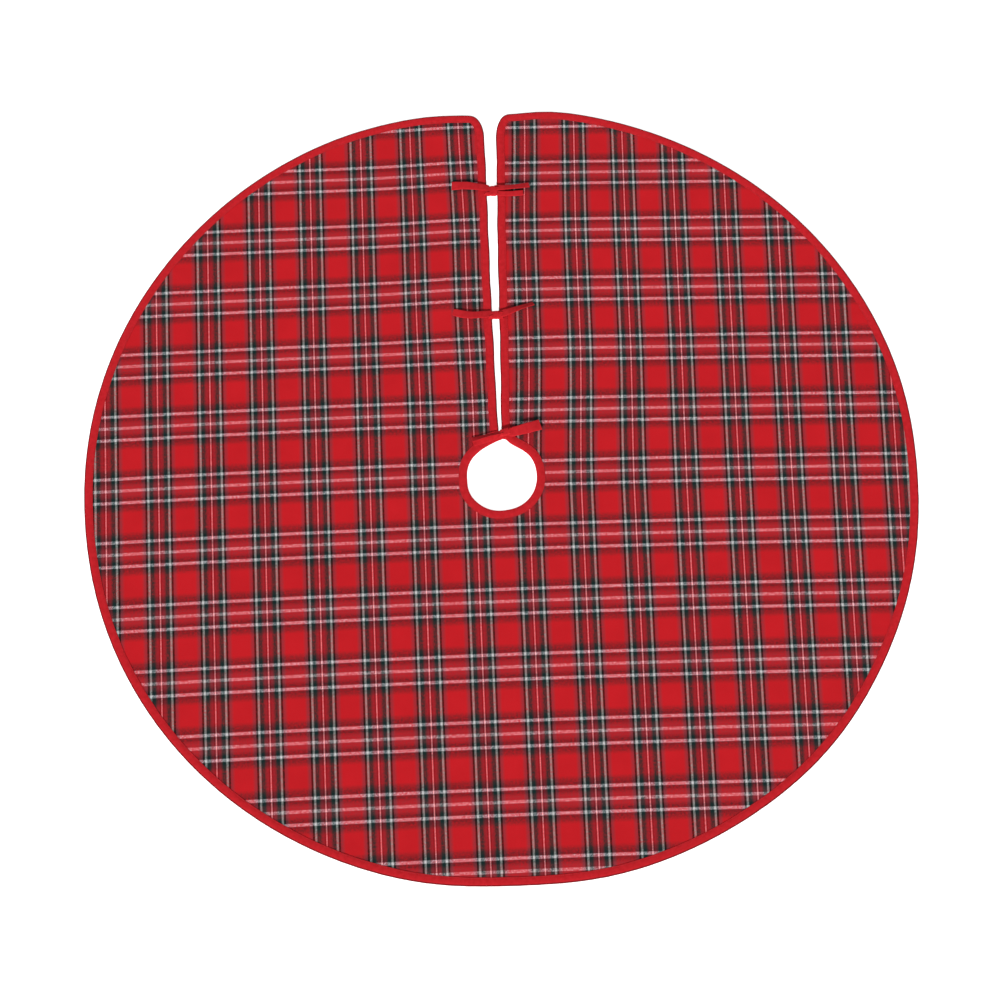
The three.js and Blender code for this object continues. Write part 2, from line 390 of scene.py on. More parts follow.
@dataclass(frozen=True)
class PlaidTwill:
    """Yarn-dyed cotton and polyester twill: matt, with the warp floating over the weft.

    The real twill lines are about 0.6 mm apart, too fine to show, so they are drawn at
    twill_pitch. With the slubs they break the white weft lines into speckles.

    Attributes:
        name: The material's name.
        warp: Colours of the yarns that run towards the slit.
        weft: Colours of the yarns across them.
        warp_share: How much of the face the warp covers.
        twill_pitch: Distance between the slanting lines, coarser than real.
        twill_depth: How far each line changes that share.
        slub_size: Size of the thick places in the yarns.
        slub_depth: How far they change that share.
        fade_size: Size of the patches where the dye took more or less.
        display_gamma: Yarns are mixed as the eye grades them, at this power.
    """

    name: str = "plaid_yarn_dyed_twill"
    warp: Sett = WARP
    weft: Sett = WEFT
    warp_share: float = 0.62
    twill_pitch: float = 3.4 * MM
    twill_depth: float = 0.08
    slub_size: float = 2.8 * MM
    slub_depth: float = 1.0
    fade_size: float = 50 * MM
    display_gamma: float = 2.2

    def yarns(
        self, tree: bpy.types.NodeTree, place: bpy.types.NodeSocket, sett: Sett
    ) -> bpy.types.NodeSocket:
        """Colour of one set of yarns, as the eye grades it.

        Args:
            tree: The material's nodes.
            place: Repeats counted across these yarns.
            sett: Their colours.

        Returns:
            The colour's socket.
        """
        moved = add_node(tree, "ShaderNodeMath", {0: place, 1: sett.middle}, operation="SUBTRACT")
        away = add_node(tree, "ShaderNodeMath", {0: moved.outputs[0], 1: 0.5}, operation="PINGPONG")
        ramp = add_node(tree, "ShaderNodeValToRGB", {0: away.outputs[0]})
        ramp.color_ramp.interpolation = "LINEAR"
        stops = ramp.color_ramp.elements
        while len(stops) < len(sett.stops):
            stops.new(1.0)
        for stop, (share, colour) in zip(stops, sett.stops):
            stop.position = share
            stop.color = linear(colour)
        graded = add_node(tree, "ShaderNodeGamma", {0: ramp.outputs[0], 1: 1 / self.display_gamma})
        return graded.outputs[0]

    def material(self) -> bpy.types.Material:
        """The material, which counts repeats on the UV map weave: warp across, weft down.

        Returns:
            The material.
        """
        made, tree, shader = new_material(self.name)
        weave = add_node(tree, "ShaderNodeUVMap", uv_map="weave")
        axes = add_node(tree, "ShaderNodeSeparateXYZ", {0: weave.outputs[0]})
        warp = self.yarns(tree, axes.outputs[0], self.warp)
        weft = self.yarns(tree, axes.outputs[1], self.weft)

        size = (self.warp.repeat, self.weft.repeat, 1.0)
        cloth = add_node(
            tree, "ShaderNodeVectorMath", {0: weave.outputs[0], 1: size}, operation="MULTIPLY"
        )
        slubs = add_node(
            tree, "ShaderNodeTexNoise",
            {"Vector": cloth.outputs[0], "Scale": 1 / self.slub_size, "Detail": 1.5},
        )
        across = add_node(tree, "ShaderNodeSeparateXYZ", {0: cloth.outputs[0]})
        slant = add_node(
            tree, "ShaderNodeMath", {0: across.outputs[0], 1: across.outputs[1]}, operation="ADD"
        )
        turns = add_node(
            tree, "ShaderNodeMath",
            {0: slant.outputs[0], 1: math.tau / self.twill_pitch}, operation="MULTIPLY",
        )
        rib = add_node(tree, "ShaderNodeMath", {0: turns.outputs[0]}, operation="SINE")

        slub = add_node(
            tree, "ShaderNodeMath",
            {0: slubs.outputs[0], 1: self.slub_depth, 2: self.warp_share - self.slub_depth / 2},
            operation="MULTIPLY_ADD",
        )
        cover = add_node(
            tree, "ShaderNodeMath",
            {0: rib.outputs[0], 1: self.twill_depth, 2: slub.outputs[0]},
            operation="MULTIPLY_ADD", use_clamp=True,
        )
        mixed = add_node(
            tree, "ShaderNodeMix", {"Factor": cover.outputs[0], 6: weft, 7: warp}, data_type="RGBA"
        )
        colour = add_node(tree, "ShaderNodeGamma", {0: mixed.outputs[2], 1: self.display_gamma})

        fade = add_node(
            tree, "ShaderNodeTexNoise",
            {"Vector": cloth.outputs[0], "Scale": 1 / self.fade_size, "Detail": 3.0},
        )
        level = add_node(
            tree, "ShaderNodeMapRange", {0: fade.outputs[0], 1: 0.3, 2: 0.7, 3: 0.95, 4: 1.04}
        )
        toned = add_node(
            tree, "ShaderNodeVectorMath",
            {0: colour.outputs[0], "Scale": level.outputs[0]}, operation="SCALE",
        )
        tree.links.new(toned.outputs[0], shader.inputs["Base Color"])

        relief = add_node(
            tree, "ShaderNodeBump",
            {"Strength": 0.35, "Distance": 0.25 * MM, "Height": cover.outputs[0]},
        )
        tree.links.new(relief.outputs[0], shader.inputs["Normal"])
        shader.inputs["Roughness"].default_value = 0.88
        shader.inputs["Specular IOR Level"].default_value = 0.04
        return made


@dataclass(frozen=True)
class PlainCloth:
    """Plain-woven cotton in one colour, with the weave, the slubs and the fading of real cloth.

    Attributes:
        name: The material's name.
        dark: Colour between the yarns and where the dye took less.
        light: Colour on top of the yarns.
        thread: Distance between yarns. Real ones stand about 0.3 mm apart, too fine to show.
        relief: Depth of the weave.
        roughness: Of the fibres, which are matt.
        sheen: Of the fibre ends, which catch light at a glance.
        slub_size: Size of the thick places in the yarns.
        fold_shade_at: Distances from the sewn edge, on the UV map, between which the tape is
            painted darker towards its rounded fold: painted shade where the fold turns down away from
                the light.
        fold_shade_tone: How much of the colour is left in the painted shade at the fold.
    """

    name: str
    dark: str
    light: str
    thread: float = 1.1 * MM
    relief: float = 0.12 * MM
    roughness: float = 0.85
    sheen: float = 0.03
    slub_size: float = 6 * MM
    fold_shade_at: tuple[float, float] | None = None
    fold_shade_tone: float = 0.3

    def material(self) -> bpy.types.Material:
        """The material, with its weave laid on the UV map weave, in metres.

        Returns:
            The material.
        """
        made, tree, shader = new_material(self.name)
        weave = add_node(tree, "ShaderNodeUVMap", uv_map="weave")
        turned = add_node(
            tree, "ShaderNodeMapping",
            {0: weave.outputs[0], "Rotation": (0, 0, math.radians(45)), "Scale": (1 / self.thread,) * 3},
        )
        threads = [
            add_node(
                tree, "ShaderNodeTexWave",
                {"Vector": turned.outputs[0], "Scale": 0.5, "Distortion": 1.2, "Detail": 1.0},
                bands_direction=axis,
            )
            for axis in ("X", "Y")
        ]
        woven = add_node(
            tree, "ShaderNodeMath",
            {0: threads[0].outputs[1], 1: threads[1].outputs[1]}, operation="MULTIPLY",
        )
        slubs = add_node(
            tree, "ShaderNodeTexNoise",
            {"Vector": weave.outputs[0], "Scale": 1 / self.slub_size, "Detail": 3.0},
        )
        blend = add_node(
            tree, "ShaderNodeMath",
            {0: woven.outputs[0], 1: 0.25, 2: slubs.outputs[0]}, operation="MULTIPLY_ADD",
        )
        tone = add_node(tree, "ShaderNodeMapRange", {0: blend.outputs[0], 1: 0.35, 2: 0.85})
        colour = add_node(
            tree, "ShaderNodeMix",
            {"Factor": tone.outputs[0], 6: linear(self.dark), 7: linear(self.light)}, data_type="RGBA",
        )
        shown = colour.outputs[2]
        # Painted shade: the tape's colour darkens towards its rounded fold, where the fold turns down
        # away from the light.
        if self.fold_shade_at:
            around = add_node(tree, "ShaderNodeSeparateXYZ", {0: weave.outputs[0]})
            fold = add_node(
                tree, "ShaderNodeMapRange",
                {
                    0: around.outputs[1], 1: self.fold_shade_at[0], 2: self.fold_shade_at[1],
                    3: 1.0, 4: self.fold_shade_tone,
                },
                interpolation_type="SMOOTHSTEP",
            )
            shown = add_node(
                tree, "ShaderNodeVectorMath", {0: shown, "Scale": fold.outputs[0]}, operation="SCALE"
            ).outputs[0]
        tree.links.new(shown, shader.inputs["Base Color"])
        bump = add_node(
            tree, "ShaderNodeBump",
            {"Strength": 0.5, "Distance": self.relief, "Height": blend.outputs[0]},
        )
        tree.links.new(bump.outputs[0], shader.inputs["Normal"])
        shader.inputs["Roughness"].default_value = self.roughness
        shader.inputs["Specular IOR Level"].default_value = 0.15
        shader.inputs["Sheen Weight"].default_value = self.sheen
        shader.inputs["Sheen Roughness"].default_value = 0.5
        return made


@dataclass(frozen=True)
class SewingThread:
    """Spun polyester thread: smoother than the tape, so that each stitch has a small highlight.

    Attributes:
        name: The material's name.
        colour: On top of a ply.
        shade: Between the plies.
        ply: Width of a band, coarser than a real ply so that it shows.
    """

    name: str = "spun_polyester_thread"
    colour: str = "#b81c25"
    shade: str = "#8f131b"
    ply: float = 4 * MM

    def material(self) -> bpy.types.Material:
        """The material, with the two plies as slanting bands on Object coordinates.

        Returns:
            The material.
        """
        made, tree, shader = new_material(self.name)
        place = add_node(tree, "ShaderNodeTexCoord")
        plies = add_node(
            tree, "ShaderNodeTexWave",
            {"Vector": place.outputs["Object"], "Scale": 1 / self.ply, "Distortion": 0.5},
            bands_direction="DIAGONAL",
        )
        colour = add_node(
            tree, "ShaderNodeMix",
            {"Factor": plies.outputs[1], 6: linear(self.shade), 7: linear(self.colour)},
            data_type="RGBA",
        )
        tree.links.new(colour.outputs[2], shader.inputs["Base Color"])
        shader.inputs["Roughness"].default_value = 0.5
        return made


# The binding tape gets painted shade along its rounded folded edge.
TAPE_CLOTH = PlainCloth(
    "bias_tape_cotton", dark="#b8171f", light="#cd202a", fold_shade_at=(10.8 * MM, 12.4 * MM)
)
TIE_CLOTH = PlainCloth("folded_tie_cotton", dark="#b51820", light="#c92029", thread=1.0 * MM)
LINING_CLOTH = PlainCloth(
    "plain_lining_cotton", dark="#8e151c", light="#a81d24", thread=1.6 * MM, sheen=0.05
)


# ---- The plan of the skirt ----------------------------------------------------------------


@dataclass
class SkirtPlan:
    """The skirt's outline as it lies, a little off the true circle that it was cut to.

    Attributes:
        hem: Radius of the hem.
        neck: Radius of the trunk hole.
        tape: Finished width of the binding tape.
        corner: How far each rounded corner reaches across and along the slit edge.
        step: Distance between points along an edge.
        hem_humps: Where the hem stands out or is drawn in: millimetres, direction, spread.
        neck_humps: The same for the trunk hole.
        point: Direction of the point that the knot draws the hole up to, in degrees.
        point_height: How far it is drawn up, in millimetres.
        point_width: How wide the point is on its left and on its right, in degrees.
        waver: How far a slit edge wavers, in millimetres.
    """

    hem: float
    neck: float
    tape: float
    corner: tuple[float, float] = (20 * MM, 40 * MM)
    step: float = 3 * MM
    hem_humps: tuple[tuple[float, float, float], ...] = (
        (-8.2, 93.5, 6.5), (-6.4, 88.0, 5.0), (-5.8, 271.0, 10.0), (2.5, 317.0, 11.0),
        (-2.2, 0.0, 10.0), (1.9, 283.0, 62.0), (-1.8, 104.0, 6.0), (-1.5, 140.0, 16.0),
        (-1.0, 186.0, 10.0),
    )
    neck_humps: tuple[tuple[float, float, float], ...] = (
        (2.0, 40.0, 22.0), (-2.0, 178.0, 20.0), (-1.0, 280.0, 20.0),
    )
    point: float = 84.5
    point_height: float = 8.4
    point_width: tuple[float, float] = (17.0, 8.0)
    waver: float = 0.35

    def hem_at(self, angle: np.ndarray) -> np.ndarray:
        """Radius of the hem: the cloth gives on the bias and draws in on the straight.

        Args:
            angle: Directions from the middle, in radians.

        Returns:
            The radii, in metres.
        """
        bias = -1.9 * np.cos(4 * angle) - 0.3
        return self.hem + (bias + humps_round(np.degrees(angle), self.hem_humps)) * MM

    def neck_at(self, angle: np.ndarray) -> np.ndarray:
        """Radius of the trunk hole at an angle: round below, drawn up to a point at the knot.

        Args:
            angle: Directions from the middle, in radians.

        Returns:
            The radii, in metres.
        """
        turn = np.degrees(angle)
        lift = 2.5 * MM
        radius = self.neck + 0.6 * MM
        round_part = lift * np.sin(angle) + np.sqrt(radius**2 - (lift * np.cos(angle)) ** 2)
        off = (turn - self.point + 180) % 360 - 180
        left, right = (np.abs(off / width) for width in self.point_width)
        peak = np.where(off > 0, 1 / (1 + left**2.4), 1 / (1 + right**1.8))
        drawn = self.point_height * peak + humps_round(turn, self.neck_humps)
        return round_part + drawn * MM

    def slit_x(self, side: Side, y: np.ndarray) -> np.ndarray:
        """Where a slit edge stands at a distance up the slit: the left one leans away.

        Args:
            side: Which edge of the slit.
            y: Distances from the middle along the slit.

        Returns:
            The edge's X at each distance.
        """
        up = (y - self.neck) / (self.hem - self.neck)
        if side is Side.LEFT:
            away = 3 + 14 * up + 0.7 * bump_at(y, 0.305, 0.085) - 1.0 * bump_at(y, 0.085, 0.03)
        else:
            away = 1.3 + 0.6 * up - 0.7 * bump_at(y, 0.37, 0.05) + 0.4 * bump_at(y, 0.19, 0.04)
        return side.value * (away + self.waver * np.sin(y / (11.7 * MM) + side.value)) * MM

    def corner_path(self, side: Side) -> tuple[np.ndarray, float, float]:
        """The rounded corner on one side.

        Args:
            side: Which side of the slit.

        Returns:
            Its points from the slit edge to the hem, the height where it starts, and the angle
            where it reaches the hem.
        """
        across, along = self.corner
        edge = float(self.slit_x(side, np.array(self.hem - along)))
        centre_x = edge + side.value * across
        start = float(self.hem_at(np.array(math.pi / 2 - side.value * 0.05)))
        top = math.sqrt(start**2 - centre_x**2)
        turn = np.linspace(0, math.pi / 2, 24)
        points = np.stack([
            centre_x - side.value * across * np.cos(turn),
            top - along + along * np.sin(turn),
        ], axis=1)
        return points, top - along, math.atan2(top, centre_x)

    def edge_path(self) -> np.ndarray:
        """The outer edge from the foot of the slit on the left, round the hem, to the right.

        Returns:
            Points of the fold of the hem tape, a step apart.
        """
        left, left_start, left_angle = self.corner_path(Side.LEFT)
        right, right_start, right_angle = self.corner_path(Side.RIGHT)
        foot = self.neck + self.tape + 2.5 * MM
        rise = np.linspace(foot, left_start, 200)
        fall = np.linspace(right_start, foot, 200)
        turn = np.linspace(left_angle, right_angle + math.tau, 1500)[1:-1]
        radius = self.hem_at(turn)
        points = np.concatenate([
            np.stack([self.slit_x(Side.LEFT, rise), rise], axis=1)[:-1],
            left,
            np.stack([radius * np.cos(turn), radius * np.sin(turn)], axis=1),
            right[::-1],
            np.stack([self.slit_x(Side.RIGHT, fall), fall], axis=1)[1:],
        ])
        return spaced(softened(spaced(points, self.step), 3), self.step)

    def neck_outline(self, inset: float) -> np.ndarray:
        """The trunk hole's edge from the right of the slit, round below, to the left.

        Args:
            inset: How far outside the edge the line runs.

        Returns:
            Points of the line.
        """
        turn = np.linspace(math.radians(86.5), math.radians(93.5 - 360), 220)
        radius = self.neck_at(turn) + inset
        return np.stack([radius * np.cos(turn), radius * np.sin(turn)], axis=1)

    @staticmethod
    def inward(path: np.ndarray) -> np.ndarray:
        """Unit vectors into the cloth at each point of the edge path."""
        along = unit(np.gradient(path, axis=0))
        return np.stack([-along[:, 1], along[:, 0]], axis=1)


# ---- Cloth --------------------------------------------------------------------------------


@dataclass
class ClothSheet:
    """A sheet of cloth cut to the skirt's plan.

    Attributes:
        plan: The skirt's plan.
        name: The piece's name.
        base: Height of its underside at the edges.
        thickness: Of the cloth.
        inset: How far it stops short of the folded edge of the tape.
        spacing: Distance between points in the middle of the cloth.
        fold_spacing: Distance between points where the skirt folds in half.
        fold_reach: How far from the fold the points stand that close.
    """

    plan: SkirtPlan
    name: str
    base: float
    thickness: float
    inset: float = 1.3 * MM
    spacing: float = 6 * MM
    fold_spacing: float = 1.6 * MM
    fold_reach: float = 12 * MM

    def outline(self) -> np.ndarray:
        """The cut edge, anticlockwise from the foot of the slit on the left.

        Returns:
            Points of the closed outline.
        """
        path = self.plan.edge_path()
        path = path + self.plan.inward(path) * self.inset
        neck = self.plan.neck_outline(self.inset)
        keep = path[:, 1] > 0.0
        return np.concatenate([path[keep | (np.abs(path[:, 0]) > 0.01)], neck])

    def inner_points(self, edge: np.ndarray) -> np.ndarray:
        """Points inside the cut edge, closer together where the skirt folds in half.

        Args:
            edge: Points of the cut edge.

        Returns:
            The points, clear of the edge.
        """
        reach = self.plan.hem
        fold = np.arange(-self.fold_reach, self.fold_reach + 1e-9, self.fold_spacing)
        wide = np.arange(self.fold_reach + self.spacing, reach, self.spacing)
        columns = np.concatenate([-wide[::-1], fold, wide])
        rows = np.arange(-reach, reach, self.spacing)
        grid = np.stack(np.meshgrid(columns, rows), axis=-1).reshape(-1, 2)
        angle, radius = np.arctan2(grid[:, 1], grid[:, 0]), np.hypot(grid[:, 0], grid[:, 1])
        inside = (radius < self.plan.hem_at(angle)) & (radius > self.plan.neck_at(angle))
        grid = grid[inside]
        tree = KDTree(len(edge))  # finds how close each point comes to the cut edge
        for i, point in enumerate(edge):
            tree.insert((*point, 0), i)
        tree.balance()
        close = np.array([tree.find((*point, 0))[2] for point in grid])
        near_fold = np.abs(grid[:, 0]) < self.fold_reach + 1e-6
        return grid[close > np.where(near_fold, 1.3 * MM, 3 * MM)]

    def depth(self, points: np.ndarray, from_slit: np.ndarray) -> np.ndarray:
        """How deep in the cloth each point lies, from its nearest bound edge.

        Args:
            points: Points of the plan.
            from_slit: Distance of each from the slit's edge, for those beside the slit.

        Returns:
            The distances.
        """
        angle, radius = np.arctan2(points[:, 1], points[:, 0]), np.hypot(points[:, 0], points[:, 1])
        from_round = np.minimum(self.plan.hem_at(angle) - radius, radius - self.plan.neck_at(angle))
        return np.minimum(from_round, np.where(points[:, 1] > 0, from_slit, 1.0))

    def height(self, points: np.ndarray) -> np.ndarray:
        """Height of the underside at each point of the plan."""
        raise NotImplementedError

    def weave(self, points: np.ndarray) -> np.ndarray:
        """Coordinates of each point on the UV map weave."""
        raise NotImplementedError

    def build(self, material: bpy.types.Material) -> bpy.types.Object:
        """Makes the sheet as a closed mesh.

        Args:
            material: The cloth's finish.

        Returns:
            The piece.
        """
        edge = self.outline()
        inner = self.inner_points(edge)
        given = [Vector(p) for p in np.concatenate([edge, inner])]
        flat, _, triangles, *_ = delaunay_2d_cdt(given, [], [list(range(len(edge)))], 1, 1e-6)
        plan = np.array([tuple(v) for v in flat])
        triangles = np.array([t for t in triangles if len(t) == 3])
        used, numbers = np.unique(triangles, return_inverse=True)
        plan, triangles = plan[used], numbers.reshape(-1, 3)
        a, b, c = (plan[triangles[:, k]] for k in range(3))
        turned = (b[:, 0] - a[:, 0]) * (c[:, 1] - a[:, 1]) < (b[:, 1] - a[:, 1]) * (c[:, 0] - a[:, 0])
        triangles[turned] = triangles[turned][:, ::-1]

        under = self.height(plan)
        count = len(plan)
        points = np.concatenate([
            np.column_stack([plan, under + self.thickness]), np.column_stack([plan, under])
        ])
        sides = {(t[k], t[(k + 1) % 3]) for t in triangles.tolist() for k in range(3)}
        rim = [(p, q) for p, q in sides if (q, p) not in sides]
        faces = (
            triangles.tolist()
            + (triangles[:, ::-1] + count).tolist()
            + [(q, p, p + count, q + count) for p, q in sorted(rim)]
        )
        maps = {"weave": np.tile(self.weave(plan), (2, 1)), "OFBake": self.bake_map(plan)}
        return dressed(make_piece(self.name, points, faces, maps), material)

    def bake_map(self, plan: np.ndarray) -> np.ndarray:
        """A flat map: the seen side fills the square, and the hidden one fits in a corner.

        Args:
            plan: Points of one side, in plan.

        Returns:
            Map coordinates of the upper side, then of the lower.
        """
        whole, small, spare, rim = 0.498, 0.08, 0.004, 1.006
        flat = plan / self.plan.hem
        seen = 0.5 + whole * flat / rim
        hidden = small + spare + small * flat * (-1, 1) / rim
        return np.concatenate([seen, hidden] if self.seen_from_above() else [hidden, seen])

    def seen_from_above(self) -> bool:
        """Whether the upper side is the one that shows."""
        return True


@dataclass(frozen=True)
class Grain:
    """How the plaid lies on the skirt: repeats counted from the middle of the trunk hole.

    Attributes:
        start: Repeats at the middle, across and down.
        count: Repeats in a hem radius, across and down.
        slant: Turn of the warp and of the weft, in repeats in a radius.
        fan: How the lines of each spread from one side of the skirt to the other.
        bow: How the lines of each bend, along the warp and along the weft.
    """

    start: tuple[float, float] = (9.984, 8.084)
    count: tuple[float, float] = (7.941, 6.237)
    slant: tuple[float, float] = (0.143, 0.100)
    fan: tuple[float, float] = (-0.164, -0.050)
    bow: tuple[tuple[float, float], tuple[float, float]] = ((-0.025, 0.009), (-0.057, -0.079))

    def across(self, x: np.ndarray, y: np.ndarray) -> np.ndarray:
        """Repeats counted across the warp, at a place in hem radii."""
        bend = self.bow[0][0] * y**2 + self.bow[0][1] * x**2
        return self.start[0] + self.count[0] * x + self.slant[0] * y + self.fan[0] * x * y + bend

    def down(self, x: np.ndarray, y: np.ndarray) -> np.ndarray:
        """Repeats counted down the weft, at a place in hem radii."""
        bend = self.bow[1][0] * y**2 + self.bow[1][1] * x**2
        return self.start[1] - self.count[1] * y + self.slant[1] * x + self.fan[1] * x * y + bend


@dataclass
class FaceCloth(ClothSheet):
    """The plaid face cloth, with its soft waves, the pressed crease and the puckered edge.

    Attributes:
        grain: How the plaid lies.
        sag: How far the cloth lies below its bound edges.
        wave_height: Of the soft waves.
        waves: Share, size across and seed of each set of waves.
        crease_x: Where it was pressed in half for packing.
        crease_height: How proud the pressed line stands.
        pucker: Height of the gathers along the tape.
        gather: Length along the tape in which the gathers turn by a radian.
        gather_reach: How far from the tape they fade.
    """

    grain: Grain = Grain()
    sag: float = 0.15 * MM
    wave_height: float = 0.55 * MM
    waves: tuple[tuple[float, float, float], ...] = (
        (0.75, 0.19, 3.0), (0.35, 0.075, 8.0), (0.12, 0.03, 5.0),
    )
    crease_x: float = 17.5 * MM
    crease_height: float = 0.85 * MM
    pucker: float = 0.22 * MM
    gather: float = 3.1 * MM
    gather_reach: float = 12 * MM

    def height(self, points: np.ndarray) -> np.ndarray:
        """Height of the underside: flat at the tape, and gently waved inside it.

        Args:
            points: Points of the plan.

        Returns:
            Heights above the floor.
        """
        x, y = points.T
        edge = np.where(x < 0, self.plan.slit_x(Side.LEFT, y), self.plan.slit_x(Side.RIGHT, y))
        depth = self.depth(points, np.abs(x - edge))
        tape = self.plan.tape
        inner = smooth_step(depth, tape, tape + 30 * MM)
        waves = sum(share * ripple(points, size, seed) for share, size, seed in self.waves)
        along = np.arctan2(y, x) * np.hypot(x, y) + y * (np.abs(x) < 0.1)
        gathers = np.sin(along / self.gather + 2.5 * ripple(points, 0.05, 12.0))
        near_tape = smooth_step(depth, 8 * MM, tape)
        near_tape = near_tape * np.exp(-np.maximum(depth - tape, 0) / self.gather_reach)
        wander = 0.6 * MM * np.sin(y / (40 * MM))
        crease = bump_at(x + wander, self.crease_x, 1.6 * MM) * smooth_step(-y, 0.055, 0.085)
        return (
            self.base
            + inner * (waves * self.wave_height - self.sag)
            + self.pucker * gathers * near_tape
            + self.crease_height * crease * inner
        )

    def weave(self, points: np.ndarray) -> np.ndarray:
        """Repeats of the plaid, which is cut and pulled a little off the straight grain.

        Args:
            points: Points of the plan.

        Returns:
            Repeats across the warp and down the weft.
        """
        x, y = (points / self.plan.hem).T
        pulled_right = (x > 0) * smooth_step(y, -0.05, 0.38) / (1 + np.abs(x / 0.33) ** 4)
        pulled_left = (x < 0) * smooth_step(y, 0.15, 0.50) / (1 + np.abs(x / 0.20) ** 4)
        warp = self.grain.across(x, y) - 0.111 * pulled_right + 0.045 * pulled_left
        near_hem = smooth_step(y, 0.62, 1.0) / (1 + np.abs(x / 0.2) ** 4)
        warp += np.where(x > 0, -0.08, 0.07) * near_hem
        weft = self.grain.down(x, y) + 0.021 * pulled_right + 0.052 * pulled_left
        return np.stack([warp, weft], axis=1)


@dataclass
class Lining(ClothSheet):
    """The plain lining, which hangs slack under the face cloth and shows from below.

    Attributes:
        spacing: Distance between points, wider than the face cloth's.
        sag: How far it hangs below its bound edges.
        waves: Height of its own waves.
    """

    spacing: float = 9 * MM
    sag: float = 0.45 * MM
    waves: float = 0.18 * MM

    def height(self, points: np.ndarray) -> np.ndarray:
        """Height of the underside: held at the tape, and slack inside it.

        Args:
            points: Points of the plan.

        Returns:
            Heights above the floor.
        """
        depth = self.depth(points, np.abs(points[:, 0]))
        inner = smooth_step(depth, self.plan.tape, self.plan.tape + 40 * MM)
        return self.base - inner * (self.sag + self.waves * ripple(points, 0.06, 21.0))

    def weave(self, points: np.ndarray) -> np.ndarray:
        """Metres along and across the cloth."""
        return points

    def seen_from_above(self) -> bool:
        """The lining shows from below."""
        return False


# ---- Tapes --------------------------------------------------------------------------------


@dataclass
class FoldedTape:
    """Binding tape folded over a cloth edge, seen in section as a flat C.

    Attributes:
        width: From the fold to the sewn edge.
        leg: Thickness of one folded leg.
        gap: Height between the legs, where the cloth goes in.
        crown: How far the top swells between the fold and the seam.
        crown_end: Where the swelling ends, as a share of the width.
        seam: Distance from the seam to the sewn edge.
        dip: How deep the stitches pull the top in.
        edge_drop: How far the sewn edge turns down.
        clear: Height of the underside above what it lies on.
    """

    width: float
    leg: float
    gap: float
    crown: float = 0.35 * MM
    crown_end: float = 0.882
    seam: float = 1.5 * MM
    dip: float = 0.28 * MM
    edge_drop: float = 0.22 * MM
    clear: float = 0.06 * MM

    def section(self, width: np.ndarray, gap: np.ndarray, pull: np.ndarray) -> np.ndarray:
        """Rings of the section along the tape.

        Args:
            width: Width at each place.
            gap: Gap between the legs at each place.
            pull: How hard the stitches draw in at each place, from 0 to 1.

        Returns:
            For each place, the ring's points as distance in from the fold, and height.
        """
        rings = []
        height = gap + 2 * self.leg
        half = height / 2
        seam_share = 1 - self.seam / self.width
        for share in (1.0, 0.985, 0.955, seam_share, 0.82, 0.7, 0.55, 0.4, 0.26):
            bulge = self.crown * np.sin(np.pi * np.clip(share / self.crown_end, 0, 1)) ** 0.8
            dip = self.dip * pull * bump_at(share * self.width, self.width - self.seam, 1.0 * MM)
            rings.append((share * width, height + bulge - dip - self.edge_drop * (share > 0.99)))
        for turn in np.radians(np.arange(75, -91, -15)):
            rings.append((half * (1 - np.cos(turn)) * 0.9, half + half * np.sin(turn)))
        for share in (0.3, 0.7, 0.97):
            rings.append((share * width, 0 * half))
        for share in (1.0, 0.6, 0.12):
            rings.append((share * width, self.leg + 0 * half))
        rings.append((0.075 * width, half))
        for share in (0.12, 0.6, 1.0):
            rings.append((share * width, height - self.leg))
        return np.stack([np.stack([s + 0 * half, z + 0 * half], axis=-1) for s, z in rings], axis=1)

    def sweep(
        self, name: str, fold: np.ndarray, into: np.ndarray, lift: np.ndarray,
        width: np.ndarray, gap: np.ndarray, seed: float,
    ) -> bpy.types.Object:
        """Runs the section along a folded edge, with the drag lines of tape sewn round a curve.

        Args:
            name: The piece's name.
            fold: Points of the fold line, in plan.
            into: Unit vectors from the fold towards the sewn edge, in plan.
            lift: Height of the tape's underside at each point.
            width: Width at each point.
            gap: Gap between the legs at each point.
            seed: Which drag lines it gets.

        Returns:
            The piece.
        """
        along = length_along(fold)
        line = np.column_stack([along, 0 * along])
        pull = 0.65 + 0.35 * np.sin(along / (1.8 * MM) + 2 * ripple(line, 0.03, seed))
        rings = self.section(width, gap, pull)
        s, z = rings[..., 0], rings[..., 1]
        loose = np.clip(s / np.maximum(width[:, None], 1e-9), 0, 1)
        top = z > (gap[:, None] + 2 * self.leg) * 0.6
        wander = 3 * ripple(line, 0.045, seed + 4)[:, None]
        drag = np.sin(along[:, None] / (2.1 * MM) - 2.2 * loose + wander)
        swell = ripple(line, 0.022, seed + 9)[:, None]
        z = z + top * np.sin(np.pi * loose) * (0.10 * drag + 0.16 * swell) * MM
        at_seam = 0.35 * MM * ripple(line, 0.028, seed + 2)[:, None]
        at_fold = 0.22 * MM * ripple(line, 0.012, seed + 6)[:, None]
        s = s + at_seam * loose + at_fold * (1 - loose)
        points = np.concatenate([
            fold[:, None, :] + into[:, None, :] * s[..., None],
            (z + lift[:, None] + self.clear)[..., None],
        ], axis=-1)
        around = length_along(rings[0])
        weave = np.stack(np.broadcast_arrays(along[:, None], around[None, :]), axis=-1)
        maps = {"weave": weave.reshape(-1, 2)}
        return facing_out(make_piece(name, points.reshape(-1, 3), tube_faces(*points.shape[:2]), maps))


